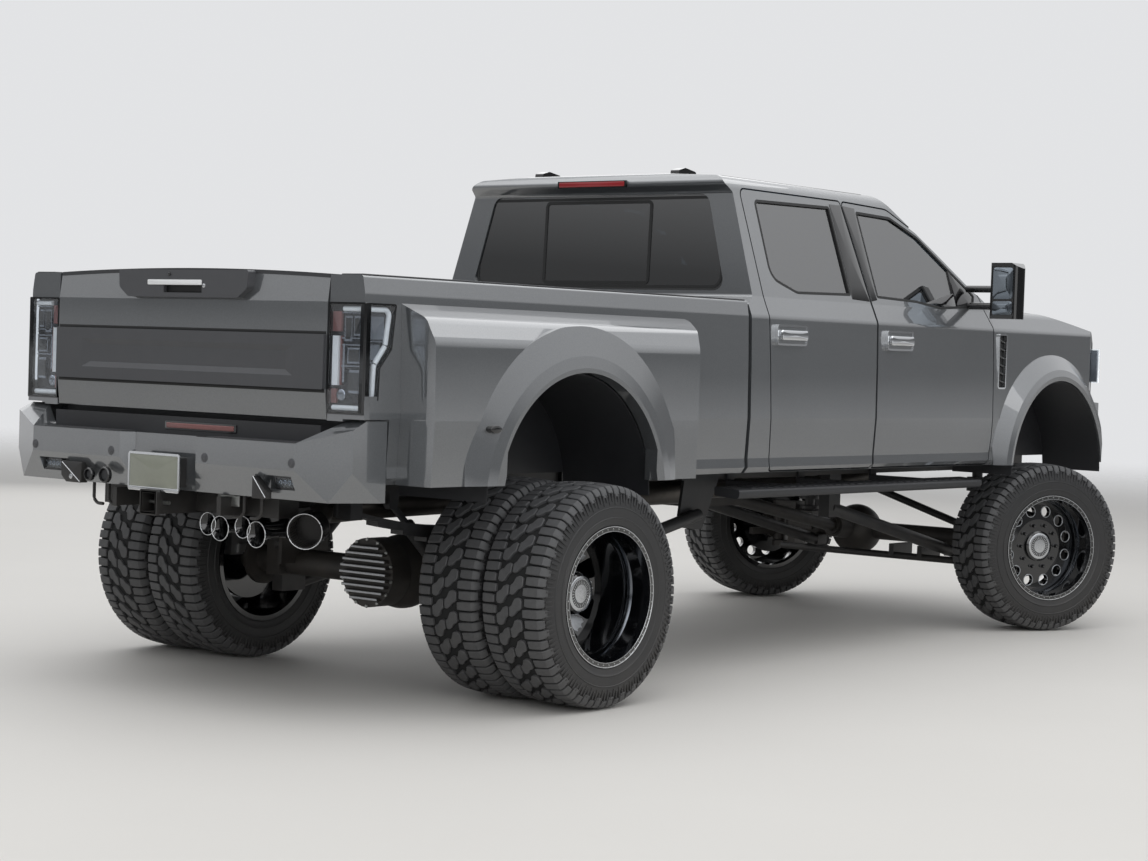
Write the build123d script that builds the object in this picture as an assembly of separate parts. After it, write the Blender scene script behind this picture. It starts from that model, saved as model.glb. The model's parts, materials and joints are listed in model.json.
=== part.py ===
from build123d import *
import math
import os

# A crew cab pickup truck on tall suspension, with twin rear wheels, in millimetres.
# X is forward, Y to the left and Z up from the ground. The bed and the rear chassis are drawn from
# the rear axle, the cab, the nose and what hangs under them from the front axle.
# The whole truck is moved along X at the end, so that its origin is under the middle of its outline.

# Overall sizes
WHEELBASE = 4470.0
REAR_OVERHANG = 1330.0
FRONT_OVERHANG = 970.0
SEAT_GAP = 0.3
RUN_GAP = 6.0
SHUT_GAP = 8.0
BIG = 9000.0

# Wheels and tyres
TYRE_RADIUS = 470.0
TYRE_HALF_WIDTH = 171.0
BEAD_RADIUS = 281.0
LIP_RADIUS = 294.0
RIM_HALF_WIDTH = 160.0
BARREL_INNER = 263.0
FRONT_TRACK_HALF = 1040.0
TWIN_INNER_Y = 845.0
TWIN_OUTER_Y = 1195.0
HUB_CAP_RADIUS = 89.0
CLAW_SPOKES = 8
WHEEL_HOLES = 12
SHOULDER_LUGS = 22
NOTCH_WIDTH = 26.0
NOTCH_REACH = 58.0
NOTCH_DEPTH = 14.0
KINGPIN_Y = 790.0
STEER_AT_REST = 26.0

# Body side section
SILL_HALF = 985.0
SCULPT_HALF = 1003.0
CREASE_HALF = 1013.0
SHOULDER_HALF = 1000.0
BELT_HALF = 962.0
ROOF_HALF = 790.0
BODY_BOTTOM_Z = 935.0
SCULPT_Z = 1005.0
CREASE_Z = 1193.0
SHOULDER_Z = 1676.0
BELT_Z = 1772.0
ROOF_Z = 2385.0
ROOF_EDGE_Z = ROOF_Z - 40
ROOF_CROWN_RADIUS = 8000.0

# Cab, from the front axle
CAB_REAR_X = -2995.0
CAB_FRONT_X = -485.0
DASH_X = -638.0
PILLAR_X = -1868.0
WALL = 110.0
FRAME_WALL = 45.0
FLOOR_TOP_Z = 1125.0
FLOOR_THICK = 40.0
SILL_WIDTH = 110.0
SCREEN_BASE_X = -525.0
SCREEN_BASE_Z = 1800.0
SCREEN_TOP_X = -1470.0
SCREEN_TOP_Z = ROOF_Z - 55
SCREEN_BOW_RADIUS = 4500.0
SCREEN_WALL = 30.0
HOOD_HALF = 800.0
NOSE_X = 745.0
GRILLE_X = 780.0
MIRROR_X = -910.0
LAMP_REAR_X = 615.0
SKIN = 15.0
SKIN_INSET = 18.0
DOOR_BOTTOM_Z = 941.0
HINGE_Z = (1160.0, 1520.0)
GLASS_THICK = 6.0

# Bed, from the rear axle
BED_REAR_X = -1145.0
CAB_GAP = 27.0
BED_FRONT_X = WHEELBASE + CAB_REAR_X - CAB_GAP
BED_FLOOR_Z = 1212.0
RAIL_TOP_Z = 1748.0
RAIL_HALF = 987.0
BED_INNER_HALF = 850.0
BED_WALL_SKIN = 60.0
BED_FLOOR_THICK = 32.0
BED_CAVITY_REAR_X = -1065.0
WHEELHOUSE_HALF = 641.0
WHEELHOUSE_WALL = 25.0
TAILGATE_HALF = 809.0
TAILGATE_X = -1152.0
TAILGATE_THICK = 72.0
TAILGATE_BOTTOM_Z = 1186.0
TAILGATE_PIN_X = -1120.0
TAILGATE_PIN_Z = 1198.0
TAILGATE_PIN = 7.0
PIN_GAP = 0.1
TAILGATE_CROWN = 20.0
TAILGATE_CREASE_Z = 1642.0
TAILGATE_UPPER = (-0.992, 0, 0.125)

# Wheel arches: centre and radius of the opening, and radius of the flare's outer edge
REAR_ARCH_X = -26.0
REAR_ARCH_Z = 846.0
REAR_ARCH_RADIUS = 547.0
REAR_FLARE_RADIUS = 740.0
REAR_ARCH_LEG_HALF = 500.0
FRONT_ARCH_X = 30.0
FRONT_ARCH_Z = 862.0
FRONT_ARCH_RADIUS = 545.0
FRONT_FLARE_RADIUS = 690.0
FRONT_FLARE_HALF = 1075.0
REAR_FLARE_HALF = 1219.0
BULGE_HALF = 1187.0
BULGE_REAR_X = -942.0
BULGE_FRONT_X = 936.0
BULGE_TOP_Z = 1645.0
BULGE_WALL = 35.0

# Chassis: rear ends from the rear axle, and from the front axle the rest
RAIL_OUTER = 500.0
RAIL_INNER = 420.0
RAIL_LOW_Z = 870.0
RAIL_HIGH_Z = 1050.0
RAIL_REAR_X = -1080.0
RAIL_FRONT_X = 680.0
MEMBER_LOW_Z = RAIL_LOW_Z + 20
HANGER_X = (-2270.0, -2990.0)
AXLE_TUBE = 62.0
SPRING_SEAT_Z = 640.0
DIFF_Y = -180.0
FRONT_DIFF_Y = 230.0
CASE_REAR_X = -2170.0
CASE_FRONT_X = -1730.0
ENGINE_LOW_Z = 920.0
SPRING_Y = 575.0
BED_MOUNT_X = (-900.0, -150.0, 700.0, BED_FRONT_X - 148)
CAB_MOUNT_X = (-2770.0, -1770.0, -870.0)
MOUNT_RADIUS = 38.0
TRACTION_X = -2740.0
BOARD_X = (-3050.0, -725.0)
BOARD_ARM_X = (-2420.0, -1770.0, -1050.0)
DAMPER_Y = 470.0
DAMPER_LOW_Z = 560.0
DAMPER_TOP_Z = 815.0
DAMPER_EYE_HALF = 18.0

# Exhaust: line of the level pipe, and where its pieces meet
PIPE_Y = -300.0
PIPE_Z = 800.0
PIPE_RADIUS = 48.0
SILENCER_RADIUS = 68.0
TIP_RADIUS = 70.0
SILENCER_X = (-3220.0, -2470.0)
FLANGE_X = -1220.0

# Tow hitch: height of the receiver, and its cross pin
HITCH_Z = 814.0
HITCH_PIN_X = -1285.0
HITCH_PIN = 8.25

# Bumper corners, which wrap round the bed
BUMPER_SIDE_X = -1008.0
BUMPER_CORNER_Z = 1184.0
BUMPER_TOP_Z = 1090.0
BUMPER_LOW_Z = 866.0

CAB_SPAN = (CAB_REAR_X - 400, CAB_FRONT_X + 400)


def outline(plane, rows):
    """Closed face on a plane from rows of (u, v, corner radius)."""
    points = [(u, v) for u, v, _ in rows]
    radii = [radius for _, _, radius in rows]
    if any(radii):
        return plane * make_face(FilletPolyline(*points, radius=radii, close=True))
    return plane * make_face(Polyline(*points, close=True))


def side_prism(rows, y0, y1):
    """Outline of (X, Z, corner radius) rows, run across the truck from y0 to y1."""
    return extrude(Pos(0, y0, 0) * outline(Plane.XZ, rows), amount=y1 - y0, dir=(0, 1, 0))


def cross_prism(rows, x0, x1):
    """Outline of (Y, Z, corner radius) rows, run along the truck from x0 to x1."""
    return extrude(Pos(x0, 0, 0) * outline(Plane.YZ, rows), amount=x1 - x0, dir=(1, 0, 0))


def plan_prism(rows, z0, z1):
    """Outline of (X, Y, corner radius) rows, run upwards from z0 to z1."""
    return extrude(Pos(0, 0, z0) * outline(Plane.XY, rows), amount=z1 - z0, dir=(0, 0, 1))


def block(x0, x1, y0, y1, z0, z1):
    """Box between two corners."""
    return Pos((x0 + x1) / 2, (y0 + y1) / 2, (z0 + z1) / 2) * Box(x1 - x0, y1 - y0, z1 - z0)


def rod(start, end, radius):
    """Round bar between two points."""
    a, b = Vector(*start), Vector(*end)
    frame = Plane(origin=a, z_dir=b - a)
    return frame * Cylinder(radius, (b - a).length, align=(Align.CENTER, Align.CENTER, Align.MIN))


def turned(rows, centre):
    """Solid of revolution about a line along Y, from rows of (Y, radius)."""
    face = make_face(Polyline(*[(y, r) for y, r in rows], close=True))
    return Pos(*centre) * revolve(Plane.YZ * face, axis=Axis.Y)


def disc(centre, radius, y0, y1):
    """Cylinder along Y from y0 to y1, about a line through centre (X, Z)."""
    x, z = centre
    return rod((x, y0, z), (x, y1, z), radius)


def facet(shape, point, normal):
    """Cut away what lies beyond a plane."""
    frame = Plane(origin=point, z_dir=normal)
    return shape - frame * Box(BIG, BIG, BIG, align=(Align.CENTER, Align.CENTER, Align.MIN))


def mirrored(rows):
    """Half outline of (Y, Z, radius) rows, from the bottom up, closed over to the other side."""
    other = [(-y, z, r) for y, z, r in reversed(rows) if y > 0]
    return rows + other


def pair(shape):
    """A left piece and its mirror image on the right."""
    return [shape, mirror(shape, about=Plane.XZ)]


def group(shapes):
    """Several solids that share one node."""
    solids = [solid for shape in shapes for solid in shape.solids()]
    return Compound(solids)


# Body side, from the sill up: Y, Z, corner radius
LOWER_SIDE = [
    (SILL_HALF, BODY_BOTTOM_Z, 0),
    (SILL_HALF + 21, BODY_BOTTOM_Z + 27, 0),
    (SCULPT_HALF, SCULPT_Z, 0),
    (CREASE_HALF, CREASE_Z, 0),
    (SHOULDER_HALF + 8, 1450, 900),
    (SHOULDER_HALF, SHOULDER_Z, 60),
]
CAB_SIDE = LOWER_SIDE + [
    (BELT_HALF, BELT_Z, 50),
    (ROOF_HALF, ROOF_EDGE_Z, 90),
    (0, ROOF_Z, ROOF_CROWN_RADIUS),
]
BED_SIDE = LOWER_SIDE + [(RAIL_HALF, RAIL_TOP_Z, 14)]

# Cab seen from the side: X, Z, corner radius
CAB_PROFILE = [
    (CAB_REAR_X, BODY_BOTTOM_Z, 0),
    (CAB_REAR_X, 1735, 20),
    (-2942, 1770, 20),
    (-2922, ROOF_Z - 117, 20),
    (-2978, ROOF_Z - 73, 20),
    (-2940, ROOF_Z - 23, 60),
    (-2670, ROOF_Z - 7, 900),
    (-1970, ROOF_Z - 7, 2500),
    (SCREEN_TOP_X, SCREEN_TOP_Z + 12, 300),
    (CAB_FRONT_X, SCREEN_BASE_Z - 2, 0),
    (CAB_FRONT_X, 1740, 0),
    (DASH_X, 1660, 0),
    (DASH_X, BODY_BOTTOM_Z, 0),
]

# Doors seen from the side: X, Z, corner radius
FRONT_DOOR = [
    (-1868, DOOR_BOTTOM_Z, 20),
    (-1860, 1690, 60),
    (-1866, 1775, 60),
    (-1960, ROOF_Z - 95, 30),
    (-1520, ROOF_Z - 107, 160),
    (-1240, ROOF_Z - 220, 200),
    (-728, 1855, 40),
    (-652, 1690, 30),
    (-648, 1075, 120),
    (-670, DOOR_BOTTOM_Z, 20),
]
REAR_DOOR = [
    (-2815, DOOR_BOTTOM_Z, 40),
    (-2815, 1000, 200),
    (-2848, 1727, 60),
    (-2863, ROOF_Z - 95, 40),
    (-1968, ROOF_Z - 95, 20),
    (-1874, 1775, 60),
    (-1868, 1690, 60),
    (-1876, DOOR_BOTTOM_Z, 20),
]
FRONT_WINDOW = [
    (-1802, 1805, 15),
    (-1832, ROOF_Z - 137, 15),
    (-1498, ROOF_Z - 145, 90),
    (-1254, ROOF_Z - 233, 200),
    (-770, 1858, 15),
    (-810, 1790, 15),
    (-1170, 1770, 90),
    (-1410, 1795, 120),
]
REAR_WINDOW = [
    (-2754, 1862, 90),
    (-2756, ROOF_Z - 141, 30),
    (-2077, ROOF_Z - 129, 15),
    (-2050, 1806, 15),
    (-2545, 1796, 120),
]


def grown(rows, amount):
    """Outline moved outwards by an amount, as a face on the XZ plane."""
    return offset(outline(Plane.XZ, rows), amount=amount, kind=Kind.INTERSECTION)


def across(face, y0, y1):
    """Face on the XZ plane, run across the truck from y0 to y1."""
    return extrude(Pos(0, y0, 0) * face, amount=y1 - y0, dir=(0, 1, 0))


def screen_front(shift):
    """Everything ahead of the bowed windscreen surface, moved back by a shift."""
    top = SCREEN_TOP_Z + 150
    bow = 1000.0 ** 2 / (2 * SCREEN_BOW_RADIUS)
    x0 = SCREEN_BASE_X - shift
    edge = Polyline((x0 - bow, -1000), (x0 + 900, -1000), (x0 + 900, 1000), (x0 - bow, 1000))
    arc = ThreePointArc((x0 - bow, 1000), (x0, 0), (x0 - bow, -1000))
    face = Pos(0, 0, SCREEN_BASE_Z) * make_face(Curve() + [edge, arc])
    rise = top - SCREEN_BASE_Z
    run = (SCREEN_TOP_X - SCREEN_BASE_X) * rise / (SCREEN_TOP_Z - SCREEN_BASE_Z)
    length = math.hypot(run, rise)
    return extrude(face, amount=length, dir=(run, 0, rise))


def cab_outer():
    """Closed outer form of the cab."""
    body = cross_prism(mirrored(CAB_SIDE), CAB_REAR_X, CAB_FRONT_X)
    body = body & side_prism(CAB_PROFILE, -1100, 1100)
    return body - screen_front(0)


def cab_tunnel():
    """Inner cross section of the cab, run past both of its ends."""
    inside = [
        (SILL_HALF - WALL, FLOOR_TOP_Z, 0),
        (CREASE_HALF - WALL, CREASE_Z, 0),
        (SHOULDER_HALF - WALL, SHOULDER_Z, 60),
        (BELT_HALF - WALL, BELT_Z - 20, 0),
        (BELT_HALF - FRAME_WALL - 6, BELT_Z + 12, 0),
        (ROOF_HALF - FRAME_WALL, ROOF_EDGE_Z - 60, 60),
        (0, ROOF_Z - 60, ROOF_CROWN_RADIUS),
    ]
    return cross_prism(mirrored(inside), CAB_REAR_X - WALL, CAB_FRONT_X + WALL)


def cab_inner():
    """The space inside the cab."""
    profile = [
        (CAB_REAR_X + 75, FLOOR_TOP_Z, 60),
        (CAB_REAR_X + 75, 1745, 20),
        (CAB_REAR_X + 105, 1775, 20),
        (CAB_REAR_X + 125, ROOF_Z - 75, 60),
        (SCREEN_TOP_X - 30, ROOF_Z - 75, 60),
        (DASH_X - 82, 1865, 0),
        (DASH_X - 42, 1740, 0),
        (DASH_X - 62, FLOOR_TOP_Z, 80),
    ]
    return (cab_tunnel() & side_prism(profile, -1100, 1100)) - screen_front(SCREEN_WALL)


def window_prism(rows, amount):
    """Window outline run across one side of the cab."""
    return across(grown(rows, amount), 600, 1100)


def screen_prism(amount):
    """Outline of the windscreen opening, run forward."""
    rows = [(790 + amount, 1822 - amount, 40), (655 + amount, ROOF_Z - 89 + amount, 60)]
    return cross_prism(mirrored(rows), SCREEN_TOP_X - 150, CAB_FRONT_X + 115)


def back_light_prism(amount):
    """Outline of the rear window opening, run along the truck."""
    rows = [(800 + amount, 1796 - amount, 50), (672 + amount, ROOF_Z - 123 + amount, 60)]
    return cross_prism(mirrored(rows), CAB_REAR_X - 75, CAB_REAR_X + 245)


def cab_shell(outer, inner):
    """Roof, pillars, floor, sills, dash panel and back wall."""
    shell = outer - inner
    under = SILL_HALF - WALL - SILL_WIDTH + 25
    shell -= block(*CAB_SPAN, -under, under, 900, FLOOR_TOP_Z - FLOOR_THICK)
    # Sills and centre pillars stand inboard of the doors
    sill_out = SILL_HALF - WALL - 4
    pillar = [
        (sill_out, BODY_BOTTOM_Z + 15, 0),
        (sill_out, SHOULDER_Z - 10, 0),
        (BELT_HALF - WALL - 6, BELT_Z - 20, 0),
        (BELT_HALF - WALL - 6, BELT_Z + 14, 0),
        (BELT_HALF - FRAME_WALL - 16, BELT_Z + 22, 0),
        (ROOF_HALF - FRAME_WALL - 12, ROOF_EDGE_Z - 62, 0),
        (ROOF_HALF - FRAME_WALL - 40, ROOF_EDGE_Z - 22, 0),
        (ROOF_HALF - FRAME_WALL - 75, ROOF_EDGE_Z - 22, 0),
        (BELT_HALF - WALL - 40, BELT_Z, 0),
        (sill_out - 70, SHOULDER_Z - 10, 0),
        (sill_out - 70, BODY_BOTTOM_Z + 15, 0),
    ]
    for side in (1, -1):
        rows = [(side * y, z, r) for y, z, r in pillar]
        for rows_2d in (FRONT_DOOR, REAR_DOOR):
            hole = across(grown(rows_2d, SHUT_GAP / 2), 600, 1100)
            keep = across(grown(rows_2d, SHUT_GAP / 2), 600, sill_out)
            keep = keep & block(*CAB_SPAN, 0, 1100, 0, FLOOR_TOP_Z)
            # The dash panel and the screen pillars run on inboard of the doors
            cut = hole - keep - Pos(0, -RUN_GAP, 0) * cab_tunnel()
            shell -= cut if side > 0 else mirror(cut, about=Plane.XZ)
        shell += cross_prism(rows, PILLAR_X - 62, PILLAR_X + 48)
        # Hinge leaves, from the pillars to the front edges of the doors
        hinges = ((FRONT_DOOR, DASH_X - 52, DASH_X), (REAR_DOOR, PILLAR_X - 42, PILLAR_X - 2))
        for outline_rows, x0, x1 in hinges:
            for z in HINGE_Z:
                y0, y1 = sorted((side * (sill_out - 20), side * 975))
                leaf = block(x0, x1, y0, y1, z - 35, z + 35)
                core = grown(outline_rows, -SHUT_GAP / 2 - SKIN_INSET + SEAT_GAP)
                near = across(core, 600, 1100)
                leaf -= near if side > 0 else mirror(near, about=Plane.XZ)
                shell += leaf
    shell -= screen_prism(0)
    shell -= back_light_prism(0)
    for side in (1, -1):
        y0, y1 = sorted((side * HOOD_HALF, side * 1100))
        shell -= block(DASH_X, CAB_FRONT_X + 100, y0, y1, 0, SCREEN_BASE_Z + SEAT_GAP)
    return shell


def door(rows, window):
    """Left door: inner body, outer skin that laps it, and the window cut out."""
    wall = cab_outer() - cab_tunnel()
    sill_out = SILL_HALF - WALL
    wall -= block(*CAB_SPAN, 0, sill_out + 4, 0, FLOOR_TOP_Z + 5)
    core = wall & across(grown(rows, -SHUT_GAP / 2 - SKIN_INSET), 600, 1100)
    skin = (cab_outer() & block(*CAB_SPAN, 500, 1100, 0, ROOF_Z)) - Pos(0, -SKIN, 0) * cab_outer()
    skin = skin & across(grown(rows, -SHUT_GAP / 2), 600, 1100)
    leaf = core + skin
    return leaf - window_prism(window, 0)


def pane(window):
    """Left door glass, let in from the outer skin."""
    layer = Pos(0, -9, 0) * cab_outer() - Pos(0, -9 - GLASS_THICK, 0) * cab_outer()
    return largest(layer & window_prism(window, -SEAT_GAP))


def largest(shape):
    """The biggest solid of a shape."""
    return max(shape.solids(), key=lambda solid: solid.volume)


def cab_glass():
    """Windscreen and rear window, let in from the outer surfaces."""
    front = Pos(-10, 0, 0) * cab_outer() - Pos(-23, 0, 0) * cab_outer()
    ahead = block(SCREEN_TOP_X - 50, CAB_FRONT_X + 15, -900, 900, 1700, ROOF_Z)
    screen = largest(front & screen_prism(-SEAT_GAP) & ahead)
    rear = Pos(9, 0, 0) * cab_outer() - Pos(9 + GLASS_THICK, 0, 0) * cab_outer()
    behind = block(CAB_REAR_X + 25, CAB_REAR_X + 145, -900, 900, 1700, ROOF_Z)
    light = largest(rear & back_light_prism(-SEAT_GAP) & behind)
    return group([screen, light])


def handle(x0, x1, z0, z1):
    """Left door handle: strap over a shallow cup."""
    rows = [(x0, z0, 14), (x1, z0, 14), (x1, z1, 14), (x0, z1, 14)]
    y = SHOULDER_HALF + 5
    plate = side_prism(rows, y - 6, y + 14)
    x0, x1, z0, z1 = x0 + 18, x1 - 18, z0 + 26, z1 - 26
    rows = [(x0, z0, 10), (x1, z0, 10), (x1, z1, 10), (x0, z1, 10)]
    return plate + side_prism(rows, y + 14, y + 32)


def hood():
    """Bonnet with a raised middle, as lofts between three cross sections."""
    # X, half width, edge height, crown height
    sections = [
        (CAB_FRONT_X + SHUT_GAP, HOOD_HALF, 1782, 1830),
        (230, HOOD_HALF - 5, 1740, 1800),
        (NOSE_X + 20, 760, 1650, 1712),
    ]
    raised = [
        (CAB_FRONT_X + SHUT_GAP + 60, 430, 1800, 1856),
        (230, 400, 1768, 1828),
        (NOSE_X + 10, 330, 1660, 1728),
    ]

    def loop(x, half, edge, crown, thick):
        line = Curve() + [
            ThreePointArc((-half, edge), (0, crown), (half, edge)),
            Line((half, edge), (half, edge - thick)),
            ThreePointArc((half, edge - thick), (0, crown - thick), (-half, edge - thick)),
            Line((-half, edge - thick), (-half, edge)),
        ]
        return Pos(x, 0, 0) * (Plane.YZ * make_face(line))

    skin = loft([loop(*row, 42) for row in sections])
    dome = loft([loop(*row, 40) for row in raised])
    return skin + dome


def front_fender():
    """Left front wing with its flare, thick enough to hold the inner liner."""
    rows = LOWER_SIDE + [
        (BELT_HALF - 12, BELT_Z + 8, 60),
        (HOOD_HALF + RUN_GAP, SCREEN_BASE_Z, 0),
        (HOOD_HALF + RUN_GAP, BODY_BOTTOM_Z, 0),
    ]
    body = cross_prism(rows, DASH_X, NOSE_X)
    profile = [
        (DASH_X, BODY_BOTTOM_Z, 0),
        (DASH_X, 1800, 0),
        (-270, 1795, 0),
        (10, 1780, 500),
        (280, 1742, 900),
        (610, 1690, 400),
        (NOSE_X, 1630, 0),
        (NOSE_X, BODY_BOTTOM_Z, 0),
    ]
    body = body & side_prism(profile, 0, 1100)
    nose = [
        (DASH_X, 0, 0), (DASH_X, 1100, 0), (NOSE_X - 315, 1100, 0), (NOSE_X - 255, 1012, 200),
        (NOSE_X, 905, 0), (NOSE_X, 0, 0),
    ]
    body = body & plan_prism(nose, 0, 2500)
    hollow = block(DASH_X - 10, NOSE_X - 45, 700, 945, 0, 1640)
    body -= hollow
    ring = [
        (FRONT_FLARE_HALF, FRONT_ARCH_RADIUS),
        (FRONT_FLARE_HALF + 3, FRONT_ARCH_RADIUS + 25),
        (FRONT_FLARE_HALF - 8, FRONT_ARCH_RADIUS + 62),
        (CREASE_HALF - 3, FRONT_FLARE_RADIUS),
        (945, FRONT_FLARE_RADIUS),
        (945, FRONT_ARCH_RADIUS),
    ]
    flare = turned(ring, (FRONT_ARCH_X, 0, FRONT_ARCH_Z))
    flare = flare & block(DASH_X, NOSE_X - 35, 900, 1100, BODY_BOTTOM_Z, 1700)
    body += flare
    body -= disc((FRONT_ARCH_X, FRONT_ARCH_Z), FRONT_ARCH_RADIUS, 700, 1200)
    body -= block(FRONT_ARCH_X - 530, FRONT_ARCH_X + 530, 700, 1200, 800, FRONT_ARCH_Z + 90)
    body -= block(NOSE_X - 175, NOSE_X + 85, 0, 1100, 0, 1290)
    # Side vent behind the arch, and the lamp's recess
    body -= block(DASH_X + 40, DASH_X + 118, 990, 1050, 1360, 1650)
    body -= lamp_block(SEAT_GAP)
    return largest(body)


def lamp_block(grow):
    """Left headlamp form."""
    rows = [
        (LAMP_REAR_X - grow, 560 - grow, 0),
        (LAMP_REAR_X - grow, 1010 + grow, 0),
        (LAMP_REAR_X + 65 + grow, 985 + grow, 30),
        (LAMP_REAR_X + 177 + grow, 800 + grow, 60),
        (LAMP_REAR_X + 190 + grow, 560 - grow, 0),
    ]
    return plan_prism(rows, 1400 - grow, 1598 + grow)


def grille():
    """Frame with cross bars, and the radiator behind it."""
    y, z0, z1 = 550, 1300, 1610
    x = GRILLE_X
    frame = cross_prism(mirrored([(y, z0, 40), (y + 5, z1, 40)]), x, x + 70)
    frame -= cross_prism(mirrored([(y - 45, z0 + 40, 25), (y - 42, z1 - 38, 25)]), x - 50, x + 100)
    for row in range(4):
        z = z0 + 82 + row * 48
        frame += block(x + 15, x + 55, -y + 40, y - 40, z, z + 18)
    for side in (-1, 1):
        frame += block(x + 12, x + 62, side * 250 - 16, side * 250 + 16, z0 + 30, z1 - 30)
    radiator = block(x - 150, x - 80, -520, 520, 1120, 1600)
    for side in (-1, 1):
        radiator += block(x - 80, x, side * 500 - 20, side * 500 + 20, 1330, 1360)
        radiator += block(x - 145, x - 105, side * 460 - 30, side * 460 + 30, RAIL_HIGH_Z + SEAT_GAP, 1125)
        # Rubber stop under the hood
        stop = rod((x - 115, side * 500, 1590), (x - 115, side * 500, 1760), 16)
        stop -= Pos(0, 0, -SEAT_GAP) * hood()
        radiator += min(stop.solids(), key=lambda solid: solid.center().Z)
    return frame + radiator


def front_bumper():
    """Faceted steel bumper with a lowered middle opening."""
    nose = FRONT_OVERHANG
    rows = [
        (nose - 260, 0, 0), (nose, 0, 0), (nose, 560, 0), (nose - 110, 860, 0), (nose - 320, 1005, 0),
        (nose - 380, 1005, 0), (nose - 380, 930, 0), (nose - 260, 800, 0),
    ]
    half = plan_prism(rows, 960, 1282)
    half = facet(half, (nose, 0, 1200), (0.80, 0, 0.60))
    half = facet(half, (nose, 0, 1050), (0.75, 0, -0.66))
    half -= block(nose - 240, nose + 60, -1, 430, 1085, 1175)
    half -= block(nose - 95, nose + 60, 640, 730, 1110, 1180)
    bumper = half + mirror(half, about=Plane.XZ)
    for side in (-1, 1):
        y = side * (RAIL_INNER + RAIL_OUTER) / 2
        bumper += block(RAIL_FRONT_X + SEAT_GAP, nose - 240, y - 35, y + 35, 962, 1048)
    return bumper


def bed():
    """Load bed: double walls, floor, front wall and wheel housings."""
    body = cross_prism(mirrored(BED_SIDE), BED_REAR_X, BED_FRONT_X)
    body -= block(BED_CAVITY_REAR_X, BED_FRONT_X - 45, -BED_INNER_HALF, BED_INNER_HALF, BED_FLOOR_Z, 1900)
    gate = TAILGATE_HALF + RUN_GAP
    body -= block(BED_REAR_X - 50, BED_CAVITY_REAR_X + 1, -gate, gate, 900, 1900)
    under = CREASE_HALF - BED_WALL_SKIN
    body -= block(BED_REAR_X - 50, BED_FRONT_X + 50, -under, under, 900, BED_FLOOR_Z - BED_FLOOR_THICK)
    for side in (1, -1):
        house = disc((REAR_ARCH_X, REAR_ARCH_Z), REAR_ARCH_RADIUS + WHEELHOUSE_WALL,
                     side * WHEELHOUSE_HALF, side * (BED_INNER_HALF + 20))
        body += house & block(-800, 800, -900, 900, BED_FLOOR_Z - BED_FLOOR_THICK, 1700)
        body -= disc((REAR_ARCH_X, REAR_ARCH_Z), REAR_ARCH_RADIUS,
                     side * (WHEELHOUSE_HALF + WHEELHOUSE_WALL), side * 1100)
        lamp = tail_lamp(SEAT_GAP)
        body -= lamp if side > 0 else mirror(lamp, about=Plane.XZ)
        y0, y1 = sorted((side * 900, side * 1100))
        body -= block(BED_REAR_X - 50, BUMPER_SIDE_X + RUN_GAP, y0, y1, 900, BUMPER_CORNER_Z + RUN_GAP)
    return largest(body + tailgate_pins(0))


def tail_lamp(grow):
    """Left tail lamp, wrapped round the bed's rear corner."""
    rows = [
        (TAILGATE_X + 2 - grow, 1208 - grow, 0),
        (-1069 + grow, 1208 - grow, 0),
        (-1061 + grow, 1389, 20),
        (-997 + grow, 1463, 20),
        (-976 + grow, 1640 + grow, 10),
        (TAILGATE_X + 2 - grow, 1640 + grow, 0),
    ]
    lamp = side_prism(rows, TAILGATE_HALF + RUN_GAP - grow, 1011 + grow)
    return lamp - block(-1075 + grow, -900, 0, 875 - grow, 0, 2000)


def tailgate():
    """Tailgate with crowned top, a framed recess and its latch side walls."""
    half, top = TAILGATE_HALF, RAIL_TOP_Z
    front = TAILGATE_X + TAILGATE_THICK
    line = Curve() + [
        Polyline((-half, top), (-half, TAILGATE_BOTTOM_Z), (half, TAILGATE_BOTTOM_Z), (half, top)),
        ThreePointArc((half, top), (0, top + TAILGATE_CROWN), (-half, top)),
    ]
    face = Pos(TAILGATE_X, 0, 0) * (Plane.YZ * make_face(line))
    leaf = extrude(face, amount=TAILGATE_THICK, dir=(1, 0, 0))
    leaf = facet(leaf, (TAILGATE_X, 0, 1290), (-0.995, 0, -0.1))
    leaf = facet(leaf, (TAILGATE_X, 0, TAILGATE_CREASE_Z), TAILGATE_UPPER)
    leaf -= block(front - 14, front + 5, -640, 640, 1290, 1660)
    return leaf - tailgate_pins(PIN_GAP)


def tailgate_pins(grow):
    """Two pins that the tailgate turns on, out of the bed's lower corners."""
    pins = []
    for side in (-1, 1):
        y0, y1 = side * (TAILGATE_HALF - 16 - grow), side * (TAILGATE_HALF + 12)
        pins.append(disc((TAILGATE_PIN_X, TAILGATE_PIN_Z), TAILGATE_PIN + grow, y0, y1))
    return pins


def tailgate_trim():
    """Wide dark panel with a bevelled recess, and the handle bezel above it."""
    x = TAILGATE_X
    panel = cross_prism(mirrored([(TAILGATE_HALF - 4, 1300, 6), (TAILGATE_HALF - 4, 1515, 6)]), x - 15, x)
    recess = loft([
        Pos(x - 15.5, 0, 0) * outline(Plane.YZ, mirrored([(640, 1348, 0), (640, 1470, 0)])),
        Pos(x - 6, 0, 0) * outline(Plane.YZ, mirrored([(590, 1372, 0), (590, 1446, 0)])),
    ])
    bezel = cross_prism(mirrored([(330, 1650, 20), (385, 1690, 20), (390, 1762, 10)]), x - 30, x + 30)
    bezel = facet(bezel, (x, 0, TAILGATE_CREASE_Z), tuple(-part for part in TAILGATE_UPPER))
    bezel -= block(x - 31, x - 12, -120, 110, 1668, 1712)
    bar = block(x - 27, x - 12, -118, 108, 1702, 1722)
    return group([panel - recess, bezel + bar])


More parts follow.
